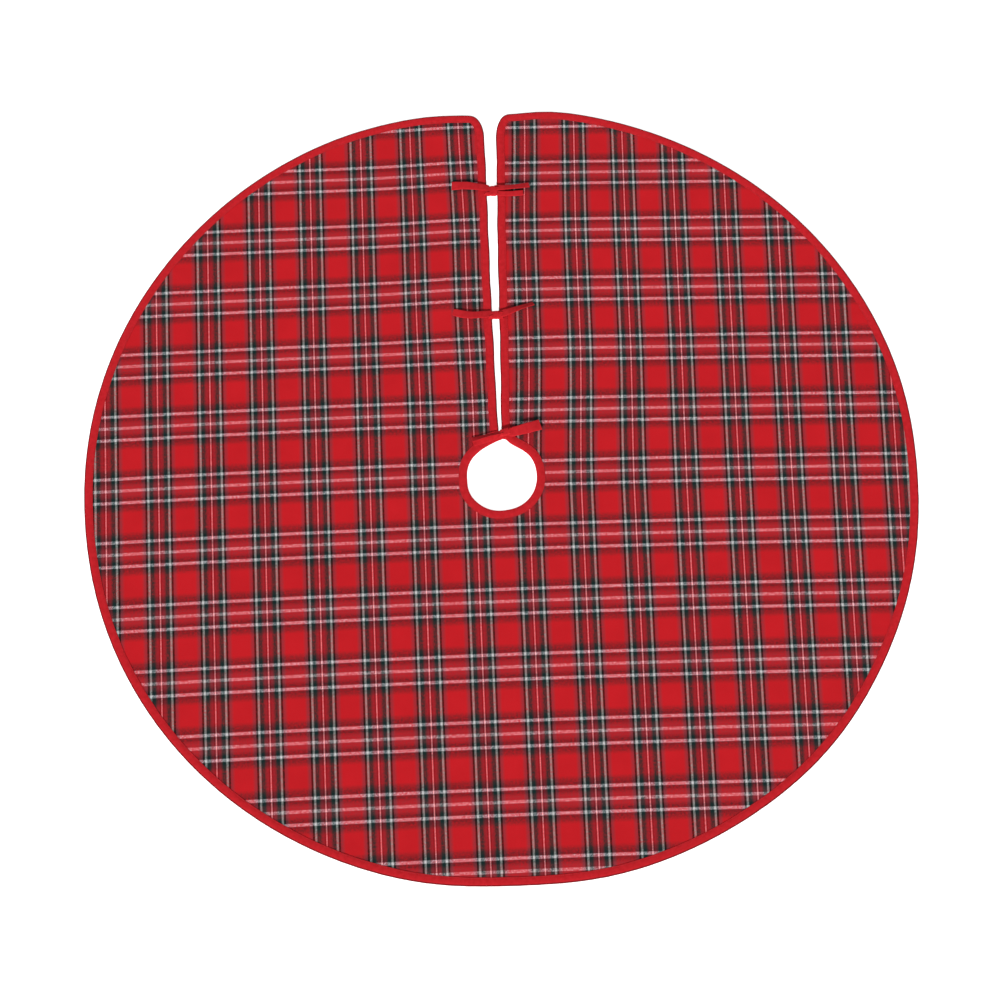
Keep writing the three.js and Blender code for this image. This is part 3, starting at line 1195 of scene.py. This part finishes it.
@dataclass
class HemTape(FoldedTape):
    """The tape round the hem, the corners and both slit edges, in one length.

    Attributes:
        plan: The skirt's plan.
    """

    plan: SkirtPlan | None = None

    def build(self, material: bpy.types.Material) -> bpy.types.Object:
        """Makes the hem tape.

        Args:
            material: The tape's finish.

        Returns:
            The piece.
        """
        fold = self.plan.edge_path()
        flat = np.ones(len(fold))
        from_foot = np.minimum(np.arange(len(fold)), np.arange(len(fold))[::-1]) * self.plan.step
        gap = self.gap * (0.2 + 0.8 * smooth_step(from_foot, 2 * MM, 16 * MM))
        into = self.plan.inward(fold)
        piece = self.sweep("hem_tape", fold, into, 0 * flat, self.width * flat, gap, 31.0)
        return dressed(piece, material)

    def seam_line(self) -> np.ndarray:
        """Points of the stitched line on top of the tape, clear of the neck tape.

        Returns:
            Points of the line, in three coordinates.
        """
        fold = self.plan.edge_path()
        line = fold + self.plan.inward(fold) * (self.width - self.seam)
        under_neck_tape = self.plan.neck_at(np.arctan2(line[:, 1], line[:, 0])) + self.plan.tape
        line = line[np.hypot(line[:, 0], line[:, 1]) > under_neck_tape]
        return np.column_stack([line, np.full(len(line), self.gap + 2 * self.leg + 0.02 * MM)])


@dataclass
class NeckTape(FoldedTape):
    """The tape round the trunk hole, whose two ends cross at the slit and run into the knot.

    Attributes:
        plan: The skirt's plan.
        knot: Middle of the neck knot, in plan.
        apex: Direction of the point where the hole is drawn up, in degrees.
        leave: How far from the point each side stops following the hole, in degrees.
        climb: How high each side has climbed at the knot. The right one crosses on top.
    """

    plan: SkirtPlan | None = None
    knot: tuple[float, float] = (8 * MM, 75 * MM)
    apex: float = 84.5
    leave: tuple[float, float] = (5.0, 3.5)
    climb: tuple[float, float] = (1.6 * MM, 3.2 * MM)

    def middle_line(self) -> tuple[np.ndarray, np.ndarray]:
        """The tape's middle, from the left end at the knot, round below, to the right end.

        Returns:
            Points in plan, and the height climbed at each.
        """
        start, stop = self.apex + self.leave[0], self.apex + 360 - self.leave[1]
        turn = np.radians(np.linspace(start, stop, 500))
        radius = self.plan.neck_at(turn)
        edge = np.stack([radius * np.cos(turn), radius * np.sin(turn)], axis=1)
        ring = edge - self.plan.inward(edge) * self.width / 2
        line = softened(spaced(np.concatenate([[self.knot], ring, [self.knot]]), 0.75 * MM), 5)
        line = spaced(line, 1.5 * MM)
        near = 1 - smooth_step(self.from_knot(line), 4 * MM, 30 * MM)
        over = np.where(np.arange(len(line)) < len(line) / 2, *self.climb)
        return line, near * over

    def from_knot(self, line: np.ndarray) -> np.ndarray:
        """Distance of each point of a line from the knot, in plan."""
        return np.hypot(*(line - np.array(self.knot)).T)

    def gap_at(self, line: np.ndarray) -> np.ndarray:
        """Gap between the legs, which closes where the tape has left the cloth."""
        return self.gap * (0.15 + 0.85 * smooth_step(self.from_knot(line), 8 * MM, 34 * MM))

    def build(self, material: bpy.types.Material) -> bpy.types.Object:
        """Makes the neck tape.

        Args:
            material: The tape's finish.

        Returns:
            The piece.
        """
        middle, lift = self.middle_line()
        outward = -self.plan.inward(middle)
        gathered = smooth_step(self.from_knot(middle), 2 * MM, 11 * MM)
        width = self.width * (0.86 + 0.14 * gathered)
        fold = middle - outward * width[:, None] / 2
        piece = self.sweep("neck_tape", fold, outward, lift, width, self.gap_at(middle), 57.0)
        return dressed(piece, material)

    def seam_line(self) -> np.ndarray:
        """Points of the stitched line on top of the tape, clear of the knot.

        Returns:
            Points of the line, in three coordinates.
        """
        middle, lift = self.middle_line()
        line = middle - self.plan.inward(middle) * (self.width / 2 - self.seam)
        height = lift + self.gap_at(middle) + 2 * self.leg + 0.02 * MM
        return np.column_stack([line, height])[self.from_knot(middle) > 20 * MM]


# ---- Stitches -----------------------------------------------------------------------------


@dataclass
class Lockstitch:
    """A line of stitches, set out along a path by geometry nodes.

    Attributes:
        pitch: Distance from stitch to stitch.
        length: Length of the thread seen in each stitch.
        thread: Thickness of the thread, about twice the real one so that it shows.
    """

    pitch: float = 3.0 * MM
    length: float = 2.3 * MM
    thread: float = 0.55 * MM

    def tree(self) -> bpy.types.NodeTree:
        """The node tree: a stitch at each step along a curve, turned along it.

        Returns:
            The node tree, with its sizes and its finish as named inputs.
        """
        tree = bpy.data.node_groups.new("lockstitch", "GeometryNodeTree")
        face = tree.interface
        face.new_socket("Geometry", in_out="INPUT", socket_type="NodeSocketGeometry")
        for name in ("Pitch", "Stitch Length", "Thread"):
            face.new_socket(name, in_out="INPUT", socket_type="NodeSocketFloat")
        face.new_socket("Finish", in_out="INPUT", socket_type="NodeSocketMaterial")
        face.new_socket("Geometry", in_out="OUTPUT", socket_type="NodeSocketGeometry")
        given = add_node(tree, "NodeGroupInput")
        steps = add_node(
            tree, "GeometryNodeCurveToPoints",
            {"Curve": given.outputs["Geometry"], "Length": given.outputs["Pitch"]}, mode="LENGTH",
        )
        bead = add_node(tree, "GeometryNodeMeshUVSphere", {"Segments": 6, "Rings": 5, "Radius": 0.5})
        turned = add_node(
            tree, "FunctionNodeAlignRotationToVector",
            {"Vector": steps.outputs["Tangent"]}, axis="Z",
        )
        thread, length = given.outputs["Thread"], given.outputs["Stitch Length"]
        size = add_node(tree, "ShaderNodeCombineXYZ", {0: thread, 1: thread, 2: length})
        placed = add_node(
            tree, "GeometryNodeInstanceOnPoints",
            {
                "Points": steps.outputs["Points"], "Instance": bead.outputs["Mesh"],
                "Rotation": turned.outputs[0], "Scale": size.outputs[0],
            },
        )
        real = add_node(tree, "GeometryNodeRealizeInstances", {0: placed.outputs[0]})
        finished = add_node(
            tree, "GeometryNodeSetMaterial",
            {"Geometry": real.outputs[0], "Material": given.outputs["Finish"]},
        )
        add_node(tree, "NodeGroupOutput", {0: finished.outputs[0]})
        return tree

    def build(self, name: str, line: np.ndarray, material: bpy.types.Material) -> bpy.types.Object:
        """Sews a line of stitches.

        Args:
            name: The piece's name.
            line: Points that the seam follows.
            material: The thread's finish.

        Returns:
            The stitches as one plain mesh.
        """
        curve = bpy.data.curves.new(name + "_path", "CURVE")
        curve.dimensions = "3D"
        spline = curve.splines.new("POLY")
        spline.points.add(len(line) - 1)
        spline.points.foreach_set("co", np.column_stack([line, np.ones(len(line))]).ravel())
        guide = placed(name + "_path", curve)
        modifier = guide.modifiers.new("stitches", "NODES")
        modifier.node_group = bpy.data.node_groups.get("lockstitch") or self.tree()
        values = {
            "Pitch": self.pitch, "Stitch Length": self.length, "Thread": self.thread,
            "Finish": material,
        }
        for item in modifier.node_group.interface.items_tree:
            if item.in_out == "INPUT" and item.name in values:
                modifier[item.identifier] = values[item.name]
        graph = bpy.context.evaluated_depsgraph_get()
        mesh = bpy.data.meshes.new_from_object(guide.evaluated_get(graph))
        guide.modifiers.remove(modifier)
        bpy.data.objects.remove(guide)
        bpy.data.curves.remove(curve)
        mesh.name = name
        mesh.shade_smooth()
        return placed(name, mesh)


# ---- Ties ---------------------------------------------------------------------------------

STRAP_THICKNESS = 1.5 * MM  # of the folded tie tape


@dataclass
class Strap:
    """One run of folded tie tape.

    Attributes:
        run: Points of its middle in millimetres from the middle of its knot, each followed by
            its width in millimetres and its roll in degrees.
        seed: Which creases it gets.
        sides: Points round its section.
    """

    run: tuple[tuple[float, float, float, float, float], ...]
    seed: float = 1.0
    sides: int = 18

    def rings(self, centre: Vector) -> tuple[np.ndarray, np.ndarray]:
        """The strap's rings of points, and its weave coordinates.

        Args:
            centre: Middle of the knot on the floor plan, with height 0.

        Returns:
            Points by ring, and metres along and around the tape.
        """
        line = through(list(self.run), 24 * len(self.run))
        middle = line[:, :3] * MM + np.array(centre)
        width, roll = line[:, 3] * MM, np.radians(line[:, 4])
        along = unit(np.gradient(middle, axis=0))
        across = unit(np.cross(np.array([0, 0, 1.0]), along))
        up = np.cross(along, across)
        flat = across * np.cos(roll)[:, None] + up * np.sin(roll)[:, None]
        proud = up * np.cos(roll)[:, None] - across * np.sin(roll)[:, None]
        length = length_along(middle)
        turn = np.linspace(0, math.tau, self.sides, endpoint=False)
        wide, thick = broadened(np.cos(turn), 0.62), broadened(np.sin(turn), 0.75)
        fuller = (1 + 0.35 * wide**2) / 1.2  # the folded edges stand prouder than the middle
        from_end = np.minimum(length, length[-1] - length)
        near_end = np.sqrt(np.clip(from_end / (0.5 * MM), 0.03, 1))
        track = np.column_stack([length, 0 * length])
        drape = 0.35 * MM * ripple(track, 0.014, self.seed)[:, None] * wide
        drape = drape + 0.3 * MM * ripple(track, 0.02, self.seed + 3)[:, None] * (1 - wide**2)
        edge = 1 + 0.05 * ripple(track, 0.011, self.seed + 7)
        outward = (width * edge / 2)[:, None] * wide
        upward = STRAP_THICKNESS / 2 * thick * fuller * near_end[:, None] + drape
        points = (
            middle[:, None, :]
            + flat[:, None, :] * outward[..., None]
            + proud[:, None, :] * upward[..., None]
        )
        half_width, half_height = 6, 0.8
        steps = np.hypot(
            np.diff(wide, append=wide[0]) * half_width, np.diff(thick, append=thick[0]) * half_height
        )
        around = np.cumsum(steps) * MM
        weave = np.stack(np.broadcast_arrays(length[:, None], around[None, :]), axis=-1)
        return points, weave


@dataclass
class HalfKnot:
    """Two strands turned about each other, as two straps lie in the first half of a bow.

    Attributes:
        length: Of the turned part, which lies across the slit.
        spread: How far the strands stand from the knot's middle line, across and in height.
        strand: Width and thickness of a gathered strand.
        flare: Width of a strand where it leaves the knot.
        turns: How far each strand winds, in whole turns.
        tilt: Direction of the knot's middle line, in degrees from +X.
    """

    length: float = 17 * MM
    spread: tuple[float, float] = (4.6 * MM, 1.7 * MM)
    strand: tuple[float, float] = (7.4 * MM, 2.5 * MM)
    flare: float = 10.5 * MM
    turns: float = 1.5
    tilt: float = 0.0

    def rings(self, centre: Vector, start: float) -> tuple[np.ndarray, np.ndarray]:
        """One strand of the knot.

        Args:
            centre: Middle of the knot.
            start: Where the strand starts to turn, in radians.

        Returns:
            Points by ring, and weave coordinates.
        """
        at = np.linspace(-1, 1, 54)
        angle = start + math.pi * self.turns * np.clip(at * 1.25, -1, 1)
        hold = 1 - 0.75 * smooth_step(np.abs(at), 0.7, 1.0)
        direction = math.radians(self.tilt)
        axis = np.array([math.cos(direction), math.sin(direction), 0.0])
        side = np.array([-axis[1], axis[0], 0.0])
        up = np.array([0.0, 0.0, 1.0])
        lean = (
            np.outer(np.cos(angle) * hold, up) * self.spread[1]
            + np.outer(np.sin(angle) * hold, side) * self.spread[0]
        )
        middle = np.array(centre) + np.outer(at * self.length / 2, axis) + lean
        along = unit(np.gradient(middle, axis=0))
        facing = np.outer(np.cos(angle), up) + np.outer(np.sin(angle), side)
        facing = unit(facing * hold[:, None] + up * (1 - hold)[:, None])
        across = unit(np.cross(facing, along))
        facing = np.cross(along, across)
        ends = smooth_step(np.abs(at), 0.55, 1.0)
        width = self.strand[0] * (1 - ends) + self.flare * ends
        thick = self.strand[1] * (1 - ends) + STRAP_THICKNESS * ends
        turn = np.linspace(0, math.tau, 16, endpoint=False)
        wide, deep = broadened(np.cos(turn), 0.8), broadened(np.sin(turn), 0.9)
        folds = 1 + 0.10 * np.sin(3 * turn[None, :] + 5 * at[:, None])
        points = (
            middle[:, None, :]
            + across[:, None, :] * (width[:, None] / 2 * wide * folds)[..., None]
            + facing[:, None, :] * (thick[:, None] / 2 * deep * folds)[..., None]
        )
        around = turn * 2.2 * MM
        weave = np.stack(np.broadcast_arrays(length_along(middle)[:, None], around[None, :]), axis=-1)
        return points, weave


def tubes_piece(
    name: str, tubes: list[tuple[np.ndarray, np.ndarray]], material: bpy.types.Material
) -> bpy.types.Object:
    """Joins tubes into one piece, each closed with a cap at both ends.

    Args:
        name: The piece's name.
        tubes: Points by ring and weave coordinates of each tube.
        material: The finish.

    Returns:
        The piece.
    """
    points, weave, faces = [], [], []
    first = 0
    for rings, coordinates in tubes:
        count, sides = rings.shape[:2]
        body = tube_faces(count, sides, first)
        ring, after = rings[count // 2], rings[count // 2 + 1]
        spoke = ring - ring.mean(0)
        spin = np.cross(spoke, np.roll(spoke, -1, axis=0)).sum(0)
        if spin @ (after.mean(0) - ring.mean(0)) < 0:
            body = [tuple(reversed(f)) for f in body]
        points.append(rings.reshape(-1, 3))
        weave.append(coordinates.reshape(-1, 2))
        faces += body
        first += count * sides
    maps = {"weave": np.concatenate(weave)}
    return dressed(make_piece(name, np.concatenate(points), faces, maps), material)


@dataclass
class Tie:
    """One pair of ties: a half knot, the sewn roots under it and a loose end on each side.

    Attributes:
        name: Which tie it is.
        ends: The runs of each loose end, one or more straps to a side.
        end_size: Finished width and length of each loose end.
        knot: The half knot.
        roots: Whether the sewn roots show as tabs of their own.
        knot_height: Of the knot's middle above the floor.
        knot_drop: How far the knot hangs towards the neck.
        bend: How far an end would bend on the knot's side of a hinge, and on its own.
    """

    name: str
    ends: dict[Side, tuple[Strap, ...]]
    end_size: dict[Side, tuple[float, float]]
    knot: HalfKnot = field(default_factory=HalfKnot)
    roots: bool = True
    knot_height: float = 5.0 * MM
    knot_drop: float = 0.0
    bend: tuple[float, float] = (3 * MM, 5 * MM)

    def build(
        self, material: bpy.types.Material, joints: dict[str, dict]
    ) -> list[bpy.types.Object]:
        """Makes and mounts the tie's pieces.

        Args:
            material: The tape's finish.
            joints: The frame's joints by name; not used.

        Returns:
            The pieces.
        """
        low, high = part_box(f"{self.name}_knot")
        centre = Vector(((low.x + high.x) / 2, (low.y + high.y) / 2, 0.0))
        pieces = [self.build_knot(material, centre)]
        for side in Side:
            pieces.append(self.build_end(material, centre, side))
            if self.roots:
                pieces.append(self.build_root(material, centre, side))
        return pieces

    def build_knot(self, material: bpy.types.Material, centre: Vector) -> bpy.types.Object:
        """Makes the half knot.

        Args:
            material: The tape's finish.
            centre: Middle of the knot, on the floor.

        Returns:
            The piece.
        """
        middle = centre + Vector((0, -self.knot_drop, self.knot_height))
        strands = [self.knot.rings(middle, start) for start in (0.0, math.pi)]
        piece = tubes_piece(f"{self.name}_half_knot", strands, material)
        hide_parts(f"{self.name}_knot")
        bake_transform(piece)
        return piece

    def build_root(self, material: bpy.types.Material, centre: Vector, side: Side) -> bpy.types.Object:
        """Makes a sewn root, from under the hem tape to under the knot.

        Args:
            material: The tape's finish.
            centre: Middle of the knot, on the floor.
            side: Which side of the slit.

        Returns:
            The piece.
        """
        label = side.name.lower()
        low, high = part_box(f"{self.name}_tie_root_{label}")
        outer = (low.x if side is Side.LEFT else high.x) + side.value * 4 * MM
        base = (low.z + high.z) / 2 / MM
        start = (outer - centre.x) / MM
        run = (
            (start, 0.0, base, 9.0, 0.0),
            (start * 0.6, -0.4, base + 0.7, 8.6, 6.0 * side.value),
            (start * 0.3, -0.8, base + 1.8, 7.6, 12.0 * side.value),
            (0.0, -1.0, base + 2.8, 6.6, 0.0),
        )
        rings = Strap(run, seed=41.0 + side.value).rings(centre)
        piece = tubes_piece(f"{self.name}_{label}_root", [rings], material)
        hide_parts(f"{self.name}_tie_root_{label}")
        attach(piece, side.half)
        return piece

    def build_end(
        self, material: bpy.types.Material, centre: Vector, side: Side
    ) -> bpy.types.Object:
        """Makes a loose end, which lifts beside its knot.

        Args:
            material: The tape's finish.
            centre: Middle of the knot, on the floor.
            side: Which side of the slit.

        Returns:
            The piece.
        """
        label = side.name.lower()
        straps = [strap.rings(centre) for strap in self.ends[side]]
        piece = tubes_piece(f"{self.name}_{label}_end", straps, material)
        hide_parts(f"{self.name}_tie_end_{label}")
        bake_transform(piece)
        return piece


def make_ties() -> list[Tie]:
    """The three ties, from the hem to the neck, with their loose ends as they lie.

    Returns:
        The upper, middle and neck ties.
    """
    upper = Tie(
        "upper",
        ends={
            Side.LEFT: (
                Strap((
                    (-4, 0.5, 5.6, 8, 0), (-9, 1.0, 6.4, 11, 4), (-22, 2.2, 7.6, 12.2, 8),
                    (-38, 4.6, 7.2, 13.0, 4), (-52, 5.4, 5.4, 13.6, 0), (-60.5, 5.6, 4.2, 14.0, 0),
                ), seed=2.0),
            ),
            Side.RIGHT: (
                Strap((
                    (4, 0.0, 6.4, 8, 0), (9, 0.2, 7.0, 9, -6), (24, 0.2, 8.0, 8.8, -16),
                    (40, 1.6, 7.8, 8.8, -18), (52, 3.6, 6.6, 9.2, -14), (56.5, 4.6, 6.0, 9.2, -10),
                ), seed=5.0),
                Strap((
                    (5, -5.4, 4.6, 6, 0), (12, -8.2, 4.6, 8, 4), (26, -9.2, 4.8, 8.6, 6),
                    (40, -8.6, 4.8, 8.8, 4), (47.5, -7.8, 4.7, 8.8, 0),
                ), seed=7.0),
            ),
        },
        end_size={Side.LEFT: (13 * MM, 58 * MM), Side.RIGHT: (17.5 * MM, 53 * MM)},
        knot=HalfKnot(spread=(6.8 * MM, 1.8 * MM), strand=(9.0 * MM, 2.5 * MM)),
        knot_drop=4.4 * MM,
    )
    middle = Tie(
        "middle",
        ends={
            Side.LEFT: (
                Strap((
                    (-4, 0.2, 5.6, 8, 0), (-9, -0.6, 6.2, 11.5, 4), (-22, -2.0, 7.0, 12.4, 8),
                    (-38, -2.0, 6.6, 12.4, 6), (-52, 0.8, 5.2, 12.2, 0), (-60, 3.4, 4.4, 11.6, 0),
                    (-63.6, 4.6, 4.2, 8.6, 0),
                ), seed=11.0),
            ),
            Side.RIGHT: (
                Strap((
                    (4, -1.6, 6.0, 8, 0), (9, -0.8, 6.8, 11.8, -6), (22, 3.0, 7.8, 11.4, -16),
                    (38, 8.6, 8.0, 9.8, -28), (51, 13.2, 6.8, 9.2, -34), (56.5, 15.0, 6.0, 9.0, -34),
                ), seed=13.0),
            ),
        },
        end_size={Side.LEFT: (12 * MM, 61 * MM), Side.RIGHT: (10 * MM, 57 * MM)},
        knot=HalfKnot(spread=(5.2 * MM, 1.8 * MM), strand=(8.4 * MM, 2.5 * MM)),
        knot_drop=2.2 * MM,
    )
    neck = Tie(
        "neck",
        ends={
            Side.LEFT: (
                Strap((
                    (-4, -3.0, 6.8, 7, 0), (-10, -4.4, 7.6, 7.6, 30), (-24, -7.6, 8.2, 8.6, 42),
                    (-38, -11.0, 7.4, 9.6, 36), (-50, -14.0, 6.4, 10.4, 26),
                ), seed=17.0),
                Strap((
                    (-4, -5.4, 4.8, 6, 0), (-11, -8.2, 4.6, 6.6, -14), (-24, -12.4, 4.4, 7.4, -18),
                    (-38, -16.4, 4.2, 8.0, -12), (-48, -19.0, 4.0, 8.4, -4),
                ), seed=18.0),
            ),
            Side.RIGHT: (
                Strap((
                    (3, -3.2, 7.0, 9, 0), (8, -3.2, 8.0, 13.5, 6), (20, -0.8, 9.0, 15.0, 8),
                    (34, 3.0, 8.8, 15.8, 6), (45, 6.2, 8.0, 16.4, 2), (51.0, 8.0, 7.6, 16.6, 0),
                ), seed=19.0),
            ),
        },
        end_size={Side.LEFT: (20 * MM, 47 * MM), Side.RIGHT: (15 * MM, 51 * MM)},
        knot=HalfKnot(length=17 * MM, tilt=12.0, strand=(7.6 * MM, 2.6 * MM)),
        roots=False,
        knot_height=6.9 * MM,
        knot_drop=2.4 * MM,
    )
    return [upper, middle, neck]


# ---- Studio -------------------------------------------------------------------------------


@dataclass
class Studio:
    """Floor, light and camera.

    Attributes:
        lens: Focal length in millimetres on a 36 mm sensor.
        distance: From the camera to what it looks at.
        elevation: Of the camera above the floor, in degrees.
        target: What it looks at.
        roll: Turn of the camera about its own line of sight, in degrees.
        sky: Strength of the even white sky.
        key: Strength of the key light.
        key_from: Direction that it comes from.
        key_spread: How soft it is, as the angle that it fills.
        floor_glow: How much the floor is lit from within, which keeps shadows on it pale.
        floor_reach: How far the floor goes each way.
    """

    lens: float = 108.72
    distance: float = 4.383
    elevation: float = 69.21
    target: tuple[float, float, float] = (-0.0024, -0.0311, 0.0)
    roll: float = -1.09
    sky: float = 0.36
    key: float = 3.35
    key_from: tuple[float, float, float] = (-0.26, -1.0, 0.74)
    key_spread: float = 8.0
    floor_glow: float = 0.75
    floor_reach: float = 12.0

    def camera(self) -> bpy.types.Object:
        """Sets the camera up.

        Returns:
            The camera.
        """
        data = bpy.data.cameras.new("studio_camera")
        data.lens, data.sensor_width, data.clip_end = self.lens, 36.0, 60.0
        eye = placed("studio_camera", data)
        up = math.radians(self.elevation)
        back = Vector((0, -math.cos(up), math.sin(up)))
        level = back.to_track_quat("Z", "Y").to_matrix()
        turn = level @ Matrix.Rotation(math.radians(self.roll), 3, "Z")
        stand = Vector(self.target) + back * self.distance
        eye.matrix_world = Matrix.Translation(stand) @ turn.to_4x4()
        bpy.context.scene.camera = eye
        return eye

    def lights(self) -> None:
        """A soft white sky, and one broad key light from the front."""
        world = bpy.data.worlds.new("studio_sky")
        world.use_nodes = True
        sky = world.node_tree.nodes["Background"]
        sky.inputs[0].default_value = linear("#ffffff")
        sky.inputs[1].default_value = self.sky
        bpy.context.scene.world = world
        data = bpy.data.lights.new("key_light", "SUN")
        data.energy, data.angle = self.key, math.radians(self.key_spread)
        key = placed("key_light", data)
        key.rotation_euler = Vector(self.key_from).to_track_quat("Z", "Y").to_euler()

    def floor(self) -> bpy.types.Object:
        """A plain pale floor.

        Returns:
            The floor.
        """
        corners = self.floor_reach * np.array([(-1, -1, 0), (1, -1, 0), (1, 1, 0), (-1, 1, 0)])
        floor = make_piece("studio_floor", corners, [(0, 1, 2, 3)])
        paint, _, shader = new_material("pale_floor")
        shader.inputs["Base Color"].default_value = linear("#fbfbfb")
        shader.inputs["Roughness"].default_value = 0.9
        shader.inputs["Specular IOR Level"].default_value = 0.0
        shader.inputs["Emission Color"].default_value = linear("#ffffff")
        shader.inputs["Emission Strength"].default_value = self.floor_glow
        dressed(floor, paint)
        return floor


# ---- Assembly -----------------------------------------------------------------------------


@dataclass
class TreeSkirt:
    """The whole skirt, mounted on the frame.

    Attributes:
        tape_width: Finished width of the binding tape.
        tape_leg: Thickness of one folded leg of it.
        fold_reach: How far each side of the fold the cloth would bend, were the skirt folded in half.
    """

    frame: dict
    tape_width: float = 12.7 * MM
    tape_leg: float = 0.5 * MM
    fold_reach: float = 8 * MM

    def mount(self, piece: bpy.types.Object, slot: str, *nodes: str) -> bpy.types.Object:
        """Hides the CAD nodes that a piece stands for, and sets the piece's placement into its points.

        Args:
            piece: The piece.
            slot: Name of a material slot; not used.
            *nodes: The CAD nodes that it stands for.

        Returns:
            The piece.
        """
        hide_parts(*nodes)
        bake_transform(piece)
        LOG.info("%s: %d faces", piece.name, len(piece.data.polygons))
        return piece

    def build(self) -> None:
        """Builds and mounts every piece."""
        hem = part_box("edge_binding_right")[1]
        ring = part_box("neck_binding_right")[1]
        plan = SkirtPlan(hem=hem.x, neck=ring.x - self.tape_width, tape=self.tape_width)
        tape, tie = TAPE_CLOTH.material(), TIE_CLOTH.material()
        thread = SewingThread().material()
        folded = (self.tape_width, self.tape_leg, hem.z - 2 * self.tape_leg)

        low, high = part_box("face_cloth_right")
        face = FaceCloth(plan, "face_cloth", low.z, high.z - low.z).build(PlaidTwill().material())
        low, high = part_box("lining_right")
        lining = Lining(plan, "plain_lining", low.z, high.z - low.z).build(LINING_CLOTH.material())
        hem_tape = HemTape(*folded, plan=plan)
        neck_tape = NeckTape(*folded, plan=plan)
        stitches = Lockstitch()
        bound = self.mount(
            hem_tape.build(tape), "binding", "edge_binding_left", "edge_binding_right"
        )
        collar = self.mount(
            neck_tape.build(tape), "binding",
            "neck_binding_left", "neck_binding_right", "neck_tie_root_left", "neck_tie_root_right",
        )
        sewn = self.mount(
            stitches.build("hem_stitches", hem_tape.seam_line(), thread), "thread",
            "edge_seam_left", "edge_seam_right",
        )
        sewn_neck = self.mount(
            stitches.build("neck_stitches", neck_tape.seam_line(), thread), "thread",
            "neck_seam_left", "neck_seam_right",
        )
        self.mount(face, "face_cloth", "face_cloth_left", "face_cloth_right")
        self.mount(lining, "lining", "lining_left", "lining_right")

        joints = {joint["name"]: joint for joint in self.frame["joints"]}
        for pair in make_ties():
            for piece in pair.build(tie, joints):
                LOG.info("%s: %d faces", piece.name, len(piece.data.polygons))


def main() -> None:
    """Builds the scene."""
    logging.basicConfig(level=logging.INFO, format="%(name)s: %(message)s")
    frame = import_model()
    studio = Studio()
    studio.camera()
    studio.lights()
    studio.floor()
    bpy.context.scene.view_settings.view_transform = "Standard"
    TreeSkirt(frame).build()


if __name__ == "__main__":
    main()
